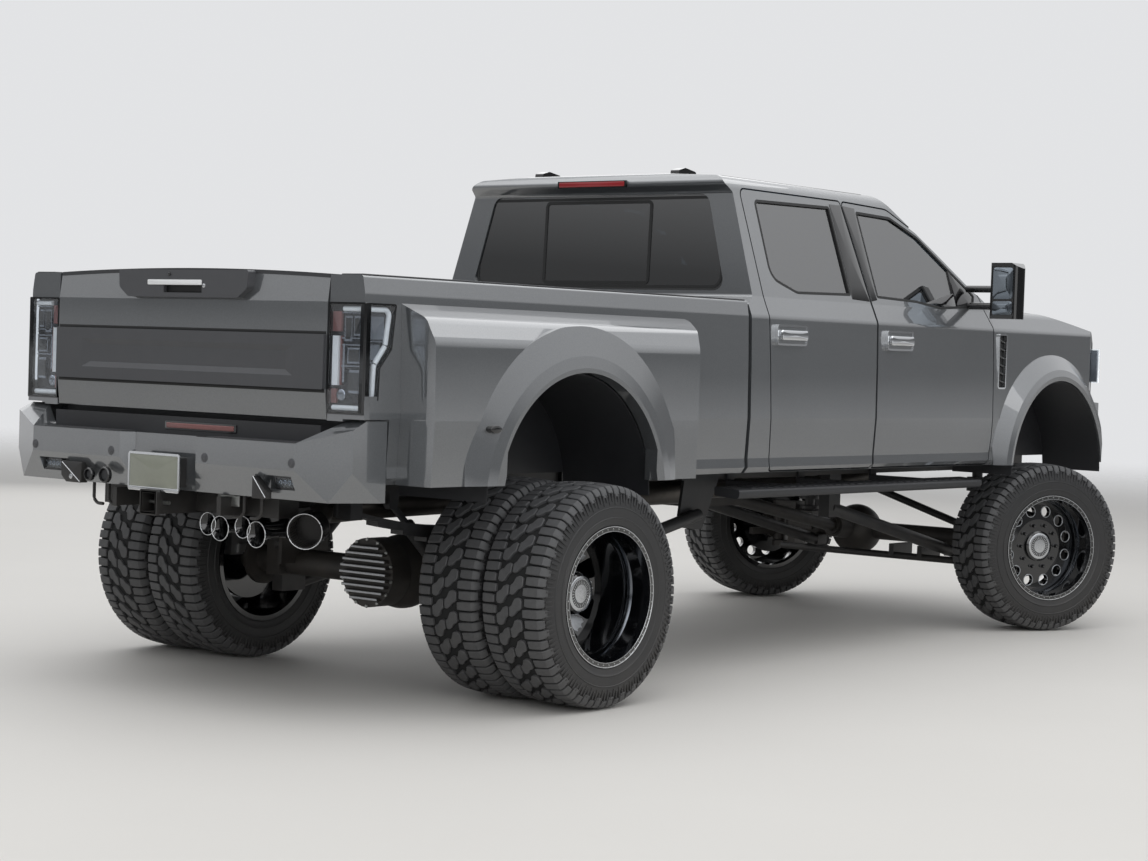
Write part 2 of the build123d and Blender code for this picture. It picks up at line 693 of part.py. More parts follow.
def rear_fender():
    """Left rear wing over the twin wheels, with its flare."""
    rows = [
        (CREASE_HALF - 14, BODY_BOTTOM_Z, 0),
        (BULGE_HALF - 8, BODY_BOTTOM_Z, 0),
        (BULGE_HALF, CREASE_Z, 0),
        (BULGE_HALF - 4, 1500, 90),
        (BULGE_HALF - 50, 1590, 60),
        (CREASE_HALF - 14, BULGE_TOP_Z, 0),
    ]
    plan = [
        (BULGE_REAR_X, 900, 0), (BULGE_REAR_X, BULGE_HALF - 22, 70), (BULGE_REAR_X + 60, BULGE_HALF + 113, 0),
        (BULGE_FRONT_X - 150, BULGE_HALF + 113, 0), (BULGE_FRONT_X - 130, BULGE_HALF + 6, 60),
        (BULGE_FRONT_X, CREASE_HALF + 20, 40), (BULGE_FRONT_X, 900, 0),
    ]
    body = cross_prism(rows, BULGE_REAR_X, BULGE_FRONT_X) & plan_prism(plan, 800, 1800)
    inner_rows = [
        (900, BODY_BOTTOM_Z - 20, 0),
        (BULGE_HALF - BULGE_WALL, BODY_BOTTOM_Z - 20, 0),
        (BULGE_HALF - BULGE_WALL, 1480, 60),
        (BULGE_HALF - 90, 1550, 40),
        (900, 1600, 0),
    ]
    inner = cross_prism(inner_rows, BULGE_REAR_X + BULGE_WALL, BULGE_FRONT_X - 130)
    body -= inner
    ring = [
        (REAR_FLARE_HALF - 3, REAR_ARCH_RADIUS - 30),
        (REAR_FLARE_HALF, REAR_ARCH_RADIUS + 20),
        (REAR_FLARE_HALF - 8, REAR_ARCH_RADIUS + 70),
        (BULGE_HALF - 4, REAR_FLARE_RADIUS),
        (BULGE_HALF - BULGE_WALL, REAR_FLARE_RADIUS),
        (BULGE_HALF - BULGE_WALL, REAR_ARCH_RADIUS - 30),
    ]
    flare = turned(ring, (REAR_ARCH_X, 0, REAR_ARCH_Z))
    body += flare & block(REAR_ARCH_X - 720, REAR_ARCH_X + 660, 900, 1300, BODY_BOTTOM_Z, 1600)
    opening = disc((REAR_ARCH_X, REAR_ARCH_Z), REAR_ARCH_RADIUS, 900, 1300)
    legs = block(REAR_ARCH_X - REAR_ARCH_LEG_HALF, REAR_ARCH_X + REAR_ARCH_LEG_HALF, 900, 1300, 700, 1500)
    body -= opening & legs
    # The inner edge seats on the bed's side
    side = [(y + SEAT_GAP, z, 0) for y, z, _ in LOWER_SIDE]
    seat = cross_prism([(0, 800, 0)] + side + [(0, 1750, 0)], BED_REAR_X - 155, BED_FRONT_X + 52)
    return largest(body - seat)


def facet_through(shape, a, b, c):
    """Cut away what lies above the plane through three points."""
    normal = (Vector(*b) - Vector(*a)).cross(Vector(*c) - Vector(*a))
    if normal.Z < 0:
        normal = normal * -1
    return facet(shape, a, tuple(normal))


def rear_bumper():
    """Faceted steel bumper with raised corners, a plate pocket and lamp pockets."""
    back, front, corner = -1290.0, -1165.0, 790.0
    low = block(back, front, 0, corner, BUMPER_LOW_Z, BUMPER_TOP_Z)
    rows = [
        (back, corner, 0), (-1195, 1008, 0), (BUMPER_SIDE_X, 1008, 0), (BUMPER_SIDE_X, 950, 0),
        (-1110, 930, 0), (front, corner, 0),
    ]
    end = plan_prism(rows, BUMPER_LOW_Z, BUMPER_CORNER_Z)
    peak = (-1110, 900, BUMPER_CORNER_Z)
    end = facet_through(end, (back, corner, BUMPER_TOP_Z), (-1195, 1008, 1150), peak)
    end = facet_through(end, (back, corner, BUMPER_TOP_Z), (front, corner, BUMPER_TOP_Z), peak)
    half = low + end
    # Lower skirt slopes forward, and in at the corner
    half = facet(half, (back, 0, 985), (-0.90, 0, -0.43))
    half = facet(half, (-1195, 1008, 985), (-0.35, 0.80, -0.48))
    half -= block(back - 20, back + 62, 560, 760, 905, 960)
    bumper = half + mirror(half, about=Plane.XZ)
    # Plate pocket between two slanted cheeks
    pocket = [(back - 20, -250, 0), (back - 20, 250, 0), (back + 45, 185, 0), (back + 45, -185, 0)]
    bumper -= plan_prism(pocket, 800, 1200)
    for side in (-1, 1):
        y = side * (RAIL_INNER + RAIL_OUTER) / 2
        bumper += block(front - 5, RAIL_REAR_X - SEAT_GAP, y - 30, y + 30, 900, 1040)
    return bumper


def hitch():
    """Receiver tube, cross tube and drop brackets."""
    frame = block(-REAR_OVERHANG, -1000, -46, 46, HITCH_Z - 46, HITCH_Z + 46)
    frame -= block(-REAR_OVERHANG - 10, -1112, -38, 38, HITCH_Z - 38, HITCH_Z + 38)
    frame += block(-1110, -1000, -528, 528, 775, 862)
    for side in (-1, 1):
        y0, y1 = sorted((side * (RAIL_INNER - 10), side * (RAIL_INNER - SEAT_GAP)))
        frame += block(-1078, -1030, y0, y1, 790, 1040)
    for y in (-330, 300):
        frame += block(-1250, -1105, y - 12, y + 12, 780, 855)
    frame -= rod((HITCH_PIN_X, -60, HITCH_Z), (HITCH_PIN_X, 60, HITCH_Z), HITCH_PIN)
    return frame


def frame_rails():
    """Ladder frame: two boxed rails with the front spring towers, and the cross members."""
    rail = block(RAIL_REAR_X, WHEELBASE + RAIL_FRONT_X, RAIL_INNER, RAIL_OUTER, RAIL_LOW_Z, RAIL_HIGH_Z)
    # Front spring tower
    rail += block(WHEELBASE - 95, WHEELBASE + 95, RAIL_OUTER - 20, SPRING_Y + 66, 1000, 1048)
    # Cross members: X, half length, low and high Z
    high = RAIL_HIGH_Z - 40
    members = [
        (-980, 45, MEMBER_LOW_Z, high),
        (-500, 40, MEMBER_LOW_Z, high),
        (640, 40, MEMBER_LOW_Z, high),
        (WHEELBASE + HANGER_X[1], 45, MEMBER_LOW_Z, high),
        (WHEELBASE + HANGER_X[0], 50, MEMBER_LOW_Z, high),
        (WHEELBASE - 270, 70, RAIL_LOW_Z, ENGINE_LOW_Z - SEAT_GAP),
        (WHEELBASE + 480, 55, MEMBER_LOW_Z, high),
    ]
    half_length = RAIL_INNER - SEAT_GAP
    cross = [block(x - half, x + half, -half_length, half_length, low, top) for x, half, low, top in members]
    return group(pair(rail) + cross)


def body_mounts():
    """Rubber mounts on the frame rails, under the floors of the cab and the bed."""
    cab_seat = FLOOR_TOP_Z - FLOOR_THICK - SEAT_GAP
    bed_seat = BED_FLOOR_Z - BED_FLOOR_THICK - SEAT_GAP
    low = RAIL_HIGH_Z + SEAT_GAP
    middle = (RAIL_INNER + RAIL_OUTER) / 2
    rows = [(x, bed_seat) for x in BED_MOUNT_X] + [(WHEELBASE + x, cab_seat) for x in CAB_MOUNT_X]
    mounts = [rod((x, middle, low), (x, middle, top), MOUNT_RADIUS) for x, top in rows]
    return group([piece for mount in mounts for piece in pair(mount)])


def rear_axle():
    """Axle tube, differential with its finned cover, and the wheel spindles."""
    centre_y = DIFF_Y
    axle = rod((0, -640, TYRE_RADIUS), (0, 640, TYRE_RADIUS), AXLE_TUBE)
    for side in (-1, 1):
        axle += rod((0, side * 630, TYRE_RADIUS), (0, side * 1000, TYRE_RADIUS), 60)
        axle += rod((0, side * 690, TYRE_RADIUS), (0, side * 712, TYRE_RADIUS), 120)
        y0, y1 = sorted((side * 505, side * 590))
        axle += block(-90, 90, y0, y1, TYRE_RADIUS - AXLE_TUBE, SPRING_SEAT_Z)
        # Ear that the dampers' eyes are bolted to
        ear = DAMPER_Y - DAMPER_EYE_HALF
        y0, y1 = sorted((side * (ear - 20), side * (ear - SEAT_GAP)))
        axle += block(-150, 150, y0, y1, TYRE_RADIUS, DAMPER_LOW_Z + 30)
    axle += Pos(0, centre_y, TYRE_RADIUS + 10) * Sphere(165)
    axle += rod((0, centre_y, TYRE_RADIUS + 15), (330, centre_y, TYRE_RADIUS + 40), 75)
    axle += rod((-110, centre_y, TYRE_RADIUS + 15), (-225, centre_y, TYRE_RADIUS + 15), 152)
    for fin in range(-4, 5):
        depth = 34 - abs(fin) * 3
        half = math.sqrt(140.0 ** 2 - (fin * 28.0) ** 2)
        z = TYRE_RADIUS + 15 + fin * 28
        axle += block(-225 - depth, -220, centre_y - half, centre_y + half, z - 6, z + 6)
    return axle


def rear_calipers():
    """Rear brake calipers, carried on the axle flanges."""
    caliper = block(-190, -70, 722, 850, TYRE_RADIUS + 20, TYRE_RADIUS + 190)
    caliper = caliper & rod((0, 700, TYRE_RADIUS), (0, 900, TYRE_RADIUS), 228)
    caliper -= rod((0, 790, TYRE_RADIUS), (0, 826, TYRE_RADIUS), 204)
    caliper -= rod((0, 600, TYRE_RADIUS), (0, 900, TYRE_RADIUS), 118)
    bridge = block(-150, -85, 712 + SEAT_GAP, 740, TYRE_RADIUS + 30, TYRE_RADIUS + 70)
    bridge -= rod((0, 600, TYRE_RADIUS), (0, 900, TYRE_RADIUS), 66)
    return group(pair(largest(caliper + bridge)))


def front_axle():
    """Front axle beam with its differential and the yokes round the kingpins."""
    x, z = WHEELBASE, TYRE_RADIUS
    axle = rod((x, -660, z), (x, 660, z), 52)
    axle += Pos(x, FRONT_DIFF_Y, z) * Sphere(150)
    axle += rod((x, FRONT_DIFF_Y, z), (x - 270, FRONT_DIFF_Y, z + 30), 65)
    for side in (-1, 1):
        y0, y1 = sorted((side * 640, side * 690))
        axle += block(x - 55, x + 55, y0, y1, z - 140, z + 140)
        for low in (-140, 108):
            y0, y1 = sorted((side * 640, side * KINGPIN_Y))
            arm = block(x - 42, x + 42, y0, y1, z + low, z + low + 32)
            arm += rod((x, side * KINGPIN_Y, z + low), (x, side * KINGPIN_Y, z + low + 32), 42)
            arm -= rod((x, side * KINGPIN_Y, z - 160), (x, side * KINGPIN_Y, z + 160), 16.3)
            axle += arm
        y0, y1 = sorted((side * (SPRING_Y - 62), side * (SPRING_Y + 66)))
        axle += block(x - 66, x + 66, y0, y1, z - 20, z + 90)
    return axle


def steered(shape):
    """Turn a left front piece about its kingpin, as the wheels stand at rest."""
    pin = (WHEELBASE, KINGPIN_Y, 0)
    return Pos(*pin) * Rot(0, 0, -STEER_AT_REST) * Pos(-pin[0], -pin[1], 0) * shape


def steered_right(shape):
    """The same for a right front piece, mirrored first."""
    pin = (WHEELBASE, -KINGPIN_Y, 0)
    return Pos(*pin) * Rot(0, 0, -STEER_AT_REST) * Pos(-pin[0], -pin[1], 0) * mirror(shape, about=Plane.XZ)


def knuckle():
    """Left steering knuckle: post, pins, spindle, arm and brake caliper."""
    x, z = WHEELBASE, TYRE_RADIUS
    post = rod((x, KINGPIN_Y, z - 103), (x, KINGPIN_Y, z + 103), 40)
    for low, high in ((-140, -100), (100, 140)):
        post += rod((x, KINGPIN_Y, z + low), (x, KINGPIN_Y, z + high), 16)
    post += rod((x, KINGPIN_Y + 20, z), (x, 850, z), 95)
    post += rod((x, 840, z), (x, 1000, z), 45)
    arm = block(x - 200, x - 20, KINGPIN_Y - 22, KINGPIN_Y + 22, z - 70, z - 30)
    caliper = block(x + 70, x + 185, 862, 962, z - 60, z + 110)
    caliper = caliper & rod((x, 700, z), (x, 980, z), 222)
    caliper -= rod((x, 896, z), (x, 938, z), 206)
    caliper -= rod((x, 700, z), (x, 1000, z), 112)
    bracket = block(x + 60, x + 140, 820, 872, z - 40, z + 40)
    return post + arm + caliper + bracket


def rim(centre_y):
    """Barrel with its two lips."""
    w = RIM_HALF_WIDTH
    rows = [
        (-w, LIP_RADIUS), (-w + 10, LIP_RADIUS), (-w + 10, BEAD_RADIUS), (w - 10, BEAD_RADIUS),
        (w - 10, LIP_RADIUS), (w, LIP_RADIUS), (w, LIP_RADIUS - 22), (w - 30, BARREL_INNER),
        (-w + 30, BARREL_INNER), (-w, LIP_RADIUS - 22),
    ]
    return turned([(centre_y + y, r) for y, r in rows], (0, 0, TYRE_RADIUS))


def tyre(centre_y):
    """Tyre out to the tips of its lugs, with open notches between the shoulder lugs."""
    w = RIM_HALF_WIDTH - 10 - SEAT_GAP
    half = [
        (w, BEAD_RADIUS + SEAT_GAP), (w, LIP_RADIUS + SEAT_GAP), (RIM_HALF_WIDTH + 2, LIP_RADIUS + SEAT_GAP),
        (TYRE_HALF_WIDTH, 362), (TYRE_HALF_WIDTH - 6, 430), (TYRE_HALF_WIDTH - 24, 463), (0, TYRE_RADIUS),
    ]
    rows = half + [(-y, r) for y, r in reversed(half) if y > 0]
    rubber = turned(rows, (0, 0, TYRE_RADIUS))
    notch = Box(NOTCH_WIDTH, 2 * NOTCH_REACH, 2 * NOTCH_DEPTH)
    half_step = 180.0 / SHOULDER_LUGS
    tools = []
    for side in (-1, 1):
        shoulder = Pos(0, side * TYRE_HALF_WIDTH, 0) * Rot(0, 0, side * 12) * notch
        tools += ring_of(shoulder, SHOULDER_LUGS, TYRE_RADIUS, half_step)
    return Pos(0, centre_y, 0) * (rubber - tools)


def ring_of(tool, count, radius, start=0.0):
    """Copies of a tool round the wheel's axle line; the tool stands at the top of the ring."""
    copies = []
    for index in range(count):
        turn = Pos(0, 0, TYRE_RADIUS) * Rot(0, start + index * 360.0 / count, 0) * Pos(0, 0, radius)
        copies.append(turn * tool)
    return copies


def front_wheel():
    """Left front wheel: dished disc with a ring of round holes, hub and brake disc."""
    y = FRONT_TRACK_HALF
    wheel = rim(y)
    reach = BARREL_INNER + 4
    rows = [
        (y + 8, 0), (y + 30, 0), (y + 30, 150), (y + 22, 235), (y + 22, reach), (y - 6, reach), (y - 6, 235),
        (y + 2, 150),
    ]
    wheel += turned(rows, (0, 0, TYRE_RADIUS))
    hole = Pos(0, y, 0) * Rot(90, 0, 0) * Cylinder(29, 400)
    wheel -= ring_of(hole, WHEEL_HOLES, 200, 180.0 / WHEEL_HOLES)
    hub = [(y + 10, 0), (y + 10, 100), (935, 100), (930, 190), (906, 190), (900, 100), (880, 92), (880, 0)]
    wheel += turned(hub, (0, 0, TYRE_RADIUS))
    edge = HUB_CAP_RADIUS
    cap = [(y + 20, 0), (y + 20, edge), (y + 44, edge - 4), (y + 50, edge - 16), (y + 50, 0)]
    wheel += turned(cap, (0, 0, TYRE_RADIUS))
    wheel -= rod((0, 700, TYRE_RADIUS), (0, 1004, TYRE_RADIUS), 45.3)
    return Pos(WHEELBASE, 0, 0) * wheel


def rear_wheels():
    """Left twin wheels bolted face to face, with a deep dish outside and the brake disc inside."""
    middle = (TWIN_INNER_Y + TWIN_OUTER_Y) / 2
    wheels = rim(TWIN_INNER_Y) + rim(TWIN_OUTER_Y)
    rows = mirrored([(22, 0, 0), (22, 170, 0), (60, 240, 0), (60, BARREL_INNER + 4, 0)])
    wheels += turned([(middle + y, r) for y, r, _ in rows], (0, 0, TYRE_RADIUS))
    # Windows between the claw spokes, wider towards the barrel
    window = [(-30, -48, 12), (30, -48, 12), (50, 44, 16), (-50, 44, 16)]
    wheels -= ring_of(side_prism(window, middle - 200, middle + 200), CLAW_SPOKES, 200, 180.0 / CLAW_SPOKES)
    cap_y, edge = TWIN_OUTER_Y, HUB_CAP_RADIUS
    cap = [
        (middle, 0), (middle, 108), (middle + 70, 100), (cap_y - 20, edge), (cap_y - 6, edge - 4),
        (cap_y, edge - 14), (cap_y, 0),
    ]
    wheels += turned(cap, (0, 0, TYRE_RADIUS))
    hub = [(middle, 0), (middle, 108), (822, 108), (820, 195), (796, 195), (796, 66), (796, 0)]
    wheels += turned(hub, (0, 0, TYRE_RADIUS))
    wheels -= rod((0, 700, TYRE_RADIUS), (0, 1006, TYRE_RADIUS), 60.3)
    return wheels


def front_suspension():
    """Radius arms, coil springs, dampers, track bar and steering rods."""
    x, z = WHEELBASE, TYRE_RADIUS
    pieces = []
    # Radius arm with its frame bracket
    arm = rod((x - 74, 470, z - 78), (x - 1420, 470, 690), 34)
    arm += block(x - 1470, x - 1360, 432, 498, 640, RAIL_LOW_Z - SEAT_GAP)
    arm += block(x - 110, x - 12, 436, 504, z - 104, z - 52 - SEAT_GAP)
    pieces += pair(arm)
    # Coil spring as stacked rings joined by the damper inside
    coil = rod((x, SPRING_Y, z + 90 + SEAT_GAP), (x, SPRING_Y, 1000 - SEAT_GAP), 30)
    for turn in range(7):
        ring_z = z + 110 + turn * 60
        coil += Pos(x, SPRING_Y, ring_z) * Cylinder(60, 20)
    pieces += pair(coil)
    # Track bar from the frame to the axle, ahead of the axle
    bar = rod((x + 130, 455, 800), (x + 130, -430, z + 60), 22)
    bar += block(x + 100, x + 160, 430, 490, 780, RAIL_LOW_Z - SEAT_GAP)
    bar += block(x + 52 + SEAT_GAP, x + 160, -460, -400, z + 20, z + 90)
    pieces.append(bar)
    # Tie rod behind the axle, held by two clamps; its ends stop short of the knuckles
    tie = rod((x - 190, -640, z - 120), (x - 190, 640, z - 120), 20)
    for y in (-330, -140):
        tie += block(x - 212, x + 5, y - 15, y + 15, z - 125, z - 52 - SEAT_GAP)
    pieces.append(tie)
    return group(pieces)


def rear_suspension():
    """Leaf springs with hangers, dampers and traction bars."""
    pieces = []
    eye_z = 800.0
    seat_z = SPRING_SEAT_Z + SEAT_GAP
    for leaf in range(4):
        reach = 740 - leaf * 150
        z = seat_z + 72 - leaf * 18
        bend = (eye_z - 712) * (reach / 740.0) ** 2
        line = Curve() + [
            ThreePointArc((-reach, z + bend), (0, z), (reach, z + bend)),
            Line((reach, z + bend), (reach, z + bend - 18)),
            ThreePointArc((reach, z + bend - 18), (0, z - 18), (-reach, z + bend - 18)),
            Line((-reach, z + bend - 18), (-reach, z + bend)),
        ]
        face = Pos(0, 512, 0) * (Plane.XZ * make_face(line))
        solid = extrude(face, amount=70, dir=(0, 1, 0))
        spring = solid if leaf == 0 else spring + solid
    for sign in (-1, 1):
        spring += block(sign * 730 - 35, sign * 730 + 35, 507, 590, 760, 840)
        spring += block(sign * 730 - 45, sign * 730 + 45, RAIL_OUTER + SEAT_GAP, 520, 770, 1030)
    pieces += pair(spring)
    # Traction bar from under the axle to a plate hung on the rail
    x = WHEELBASE + TRACTION_X
    bar = rod((60, 548, 362), (x, 548, 700), 30)
    bar += block(-60, 90, 515, 580, 332, TYRE_RADIUS - AXLE_TUBE - SEAT_GAP)
    low_rows = [(x - 130, 640, 30), (x + 70, 620, 30), (x + 200, 868, 0), (x - 90, 868, 0)]
    bar += side_prism(low_rows, 505, 521)
    bar += block(x - 110, x + 200, RAIL_OUTER + SEAT_GAP, 521, 868, 1000)
    pieces += pair(bar)
    # Dampers behind and ahead of the axle: eye, neck, body and rod, under a foot on the rail
    for way in (-1, 1):
        low = Vector(way * 118, DAMPER_Y, DAMPER_LOW_Z)
        high = Vector(way * 400, DAMPER_Y, DAMPER_TOP_Z)
        span = high - low
        damper = rod(tuple(low), tuple(high), 15)
        damper += rod(tuple(low + span * 0.16), tuple(low + span * 0.62), 31)
        for end in (low, high):
            damper += disc((end.X, end.Z), 28, DAMPER_Y - DAMPER_EYE_HALF, DAMPER_Y + DAMPER_EYE_HALF)
        foot = RAIL_LOW_Z - SEAT_GAP
        damper += block(high.X - 26, high.X + 26, DAMPER_Y - 22, DAMPER_Y + 22, DAMPER_TOP_Z, foot)
        pieces += pair(damper)
    return group(pieces)


def tube_path(points, radius, bend):
    """Round tube through points, with one bend radius at every corner."""
    path = FilletPolyline(*points, radius=bend)
    start = Plane(origin=path @ 0, z_dir=path % 0)
    return sweep(start * Circle(radius), path=path)


def exhaust():
    """Down pipe, level pipe, silencer and tail pipe with its wide tip, and their hangers."""
    rear, front = [WHEELBASE + x for x in SILENCER_X]
    flange = WHEELBASE + FLANGE_X
    silencer = rod((rear, PIPE_Y, PIPE_Z), (front, PIPE_Y, PIPE_Z), SILENCER_RADIUS)
    level = rod((front + SEAT_GAP, PIPE_Y, PIPE_Z), (flange, PIPE_Y, PIPE_Z), PIPE_RADIUS)
    level += rod((flange - 14, PIPE_Y, PIPE_Z), (flange, PIPE_Y, PIPE_Z), PIPE_RADIUS + 10)
    down = rod((flange - 20, PIPE_Y, PIPE_Z - 2), (flange + 450, PIPE_Y, PIPE_Z + 45), PIPE_RADIUS)
    down = facet(down, (flange + SEAT_GAP, 0, 0), (-1, 0, 0))
    down += rod((flange + SEAT_GAP, PIPE_Y, PIPE_Z), (flange + 14, PIPE_Y, PIPE_Z), PIPE_RADIUS + 10)
    route = [
        (rear - SEAT_GAP, PIPE_Y, PIPE_Z), (rear - 120, PIPE_Y, PIPE_Z), (420, -385, PIPE_Z),
        (-420, -385, 790), (-740, -400, 780), (-1010, -620, 745), (-1100, -668, 736),
    ]
    tail = tube_path(route, PIPE_RADIUS, 90)
    # The wide tip starts on the pipe and is open to the rear
    a, b = Vector(-1000, -612, 746), Vector(-1105, -672, 735)
    tail += rod(tuple(a), tuple(b), TIP_RADIUS)
    tail -= rod(tuple(a + (b - a) * 0.25), tuple(a + (b - a) * 1.2), TIP_RADIUS - 8)
    pieces = [silencer, level, down, tail]
    # The hangers seat on the silencer and the level pipe, under two cross members
    for middle, radius in zip(HANGER_X, (PIPE_RADIUS, SILENCER_RADIUS)):
        x = WHEELBASE + middle
        hanger = block(x - 10, x + 10, PIPE_Y - 12, PIPE_Y + 12, PIPE_Z, MEMBER_LOW_Z - SEAT_GAP)
        pieces.append(hanger - rod((x - 20, PIPE_Y, PIPE_Z), (x + 20, PIPE_Y, PIPE_Z), radius + SEAT_GAP))
    return group(pieces)


def drive_shafts():
    """Shafts from the transfer case to both axles, with a flange at each end."""
    # Face point and outward direction at both ends, shaft radius, flange radius
    runs = [
        ((WHEELBASE + CASE_REAR_X, 39, 829), (-1, 0, 0),
         (330, DIFF_Y, TYRE_RADIUS + 40), (330, 0, 25), 50, 60),
        ((WHEELBASE + CASE_FRONT_X, 215, 760), (1, 0, 0),
         (WHEELBASE - 270, FRONT_DIFF_Y, TYRE_RADIUS + 30), (-270, 0, 30), 36, 50),
    ]
    shafts = []
    for start, out, end, back, radius, flange in runs:
        a, b = Vector(*start), Vector(*end)
        u, v = Vector(*out).normalized(), Vector(*back).normalized()
        shaft = rod(tuple(a + u * 14), tuple(b + v * 14), radius)
        for point, way in ((a, u), (b, v)):
            shaft -= rod(tuple(point - way * 60), tuple(point + way * 10), radius + 40)
            shaft += rod(tuple(point + way * SEAT_GAP), tuple(point + way * 24), flange)
        shafts.append(shaft)
    return group(shafts)


def engine():
    """Engine and gearbox as plain blocks at their real places."""
    motor = block(-570, 230, -300, 300, ENGINE_LOW_Z, 1560)
    box = rod((-2050, 0, 900), (-565, 0, 930), 125)
    case = block(CASE_REAR_X, CASE_FRONT_X, -110, 300, 690, 868)
    case += block(CASE_REAR_X, CASE_REAR_X + 130, -100, 100, 700, 1000)
    return motor + box + case


def fuel_tank():
    """Long tank inside the left rail."""
    return block(-2930, -2330, 150, RAIL_INNER - SEAT_GAP, 760, 1040)


def running_boards():
    """Side steps with their arms to the frame."""
    rows = [(858, 822, 10), (1000, 812, 20), (1004, 856, 14), (858, 866, 8)]
    rear, front = BOARD_X
    board = cross_prism(rows, rear, front)
    board = facet(board, (rear, 930, 812), (-0.62, 0, -0.78))
    board = facet(board, (front, 930, 812), (0.62, 0, -0.78))
    for x in BOARD_ARM_X:
        board += block(x - 30, x + 30, RAIL_OUTER + SEAT_GAP, 862, 830, 860)
        board += block(x - 30, x + 30, RAIL_OUTER + SEAT_GAP, 512, 830, 960)
    return group(pair(board))


def seat(x, y0, y1):
    """One seat facing forward: cushion, back and head rest."""
    low = FLOOR_TOP_Z + SEAT_GAP
    cushion = [(x, low, 20), (x + 470, low, 20), (x + 520, 1420, 60), (x, 1380, 40)]
    back = [(x - 40, 1300, 30), (x + 120, 1300, 30), (x - 10, 1950, 50), (x - 120, 1950, 50)]
    head = [(x - 125, 1960, 30), (x - 20, 1960, 30), (x - 25, 2140, 40), (x - 110, 2140, 40)]
    middle = (y0 + y1) / 2
    form = side_prism(cushion, y0, y1) + side_prism(back, y0 + 20, y1 - 20)
    form += side_prism(head, middle - 130, middle + 130)
    return form + block(x - 75, x - 55, middle - 60, middle + 60, 1940, 1970)


def seats():
    """Two front seats, the centre console and the rear bench."""
    pieces = [seat(-1750, 150, 700), seat(-1750, -700, -150), seat(-2670, -720, 720)]
    pieces.append(block(-1710, -970, -120, 120, FLOOR_TOP_Z + SEAT_GAP, 1500))
    return group(pieces)


def dashboard():
    """Dashboard with the steering column and wheel."""
    x = DASH_X - 67
    rows = [
        (x, 1300, 30), (x - 205, 1330, 40), (x - 285, 1620, 80), (x - 205, 1760, 60), (x - 45, 1742, 20),
        (x, 1600, 20),
    ]
    dash = side_prism(rows, -836, 836)
    dash += block(x - 25, x + 35, -700, 700, 1430, 1500) - Pos(-SEAT_GAP, 0, 0) * (cab_outer() - cab_inner())
    # Steering column and wheel
    frame = Plane(origin=(x - 515, 425, 1640), z_dir=(-0.9, 0, 0.45))
    dash += rod((x - 505, 425, 1636), (x - 205, 425, 1500), 28)
    dash += frame * Torus(185, 15)
    dash += frame * Box(366, 34, 14)
    dash += frame * Cylinder(62, 30)
    return dash


def horns():
    """Four trumpet horns under the bumper, on one bracket."""
    # Y, Z, mouth radius, length
    bells = [(-140, 730, 46, 150), (-212, 716, 50, 210), (-345, 730, 44, 170), (-424, 706, 52, 240)]
    bracket = block(-1010, -996, -470, -100, 690, 775 - SEAT_GAP)
    for y, z, mouth, length in bells:
        rows = [(0, 0), (0, mouth), (14, mouth * 0.74), (40, mouth * 0.5), (length, 14), (length, 0)]
        face = make_face(Polyline(*rows, close=True))
        bell = Pos(-1130, y, z) * revolve(Plane.XZ * face, axis=Axis.X)
        bracket += bell
    return bracket


def mirror_head():
    """Left towing mirror: head on two arms from the door's sail panel."""
    x = MIRROR_X
    head_rows = [(x, 1100, 20), (x, 1262, 30), (x + 50, 1290, 30), (x + 130, 1240, 30), (x + 120, 1120, 30)]
    head = plan_prism(head_rows, 1732, 2032)
    head = facet(head, (x + 40, 1290, 2000), (0, 0.5, 0.87))
    # The glass lies in a shallow recess
    head -= block(x - 10, x + 8, 1116, 1250, 1748, 2012)
    for z in (1800, 1892):
        head += rod((x + 52, 940, z), (x + 52, 1120, z), 19)
    return head


def roof_trim():
    """Two small roof fins and the high brake lamp, seated on the cab."""
    x, z = CAB_REAR_X + 115, ROOF_Z - 85
    rows = [(x, z, 0), (x + 160, z, 0), (x + 150, z + 84, 12), (x + 60, z + 98, 20), (x + 10, z + 84, 8)]
    pieces = [side_prism(rows, side * 430 - 26, side * 430 + 26) for side in (-1, 1)]
    pieces.append(block(CAB_REAR_X + 13, CAB_REAR_X + 25, -215, 215, ROOF_Z - 89, ROOF_Z - 55))
    return group([largest(piece - Pos(-SEAT_GAP, 0, 2 * SEAT_GAP) * cab_outer()) for piece in pieces])


def from_front(shape):
    """Place a piece that is drawn from the front axle."""
    return Pos(WHEELBASE, 0, 0) * shape


def cab_nodes():
    """Cab, nose and what they carry, from the front axle."""
    front = largest(door(FRONT_DOOR, FRONT_WINDOW) + handle(-1795, -1540, 1542, 1640))
    rear = largest(door(REAR_DOOR, REAR_WINDOW) + handle(-2802, -2545, 1545, 1642))
    leaves = {
        "door_front_": front,
        "door_rear_": rear,
        "window_front_": pane(FRONT_WINDOW),
        "window_rear_": pane(REAR_WINDOW),
        "mirror_": largest(mirror_head() - (Pos(0, SEAT_GAP, 0) * cab_outer())),
    }
    nodes = {
        "front_bumper": front_bumper(),
        "cab_shell": cab_shell(cab_outer(), cab_inner()),
        "cab_glass": cab_glass(),
        "hood": hood(),
        "front_fenders": group(pair(front_fender())),
        "grille": grille(),
        "headlamps": group(pair(lamp_block(0))),
        "engine": engine(),
        "fuel_tank": fuel_tank(),
        "running_boards": running_boards(),
        "seats": seats(),
        "dashboard": dashboard(),
        "roof_trim": roof_trim(),
    }
    for name, leaf in leaves.items():
        nodes[name + "left"], nodes[name + "right"] = pair(leaf)
    return {name: from_front(shape) for name, shape in nodes.items()}


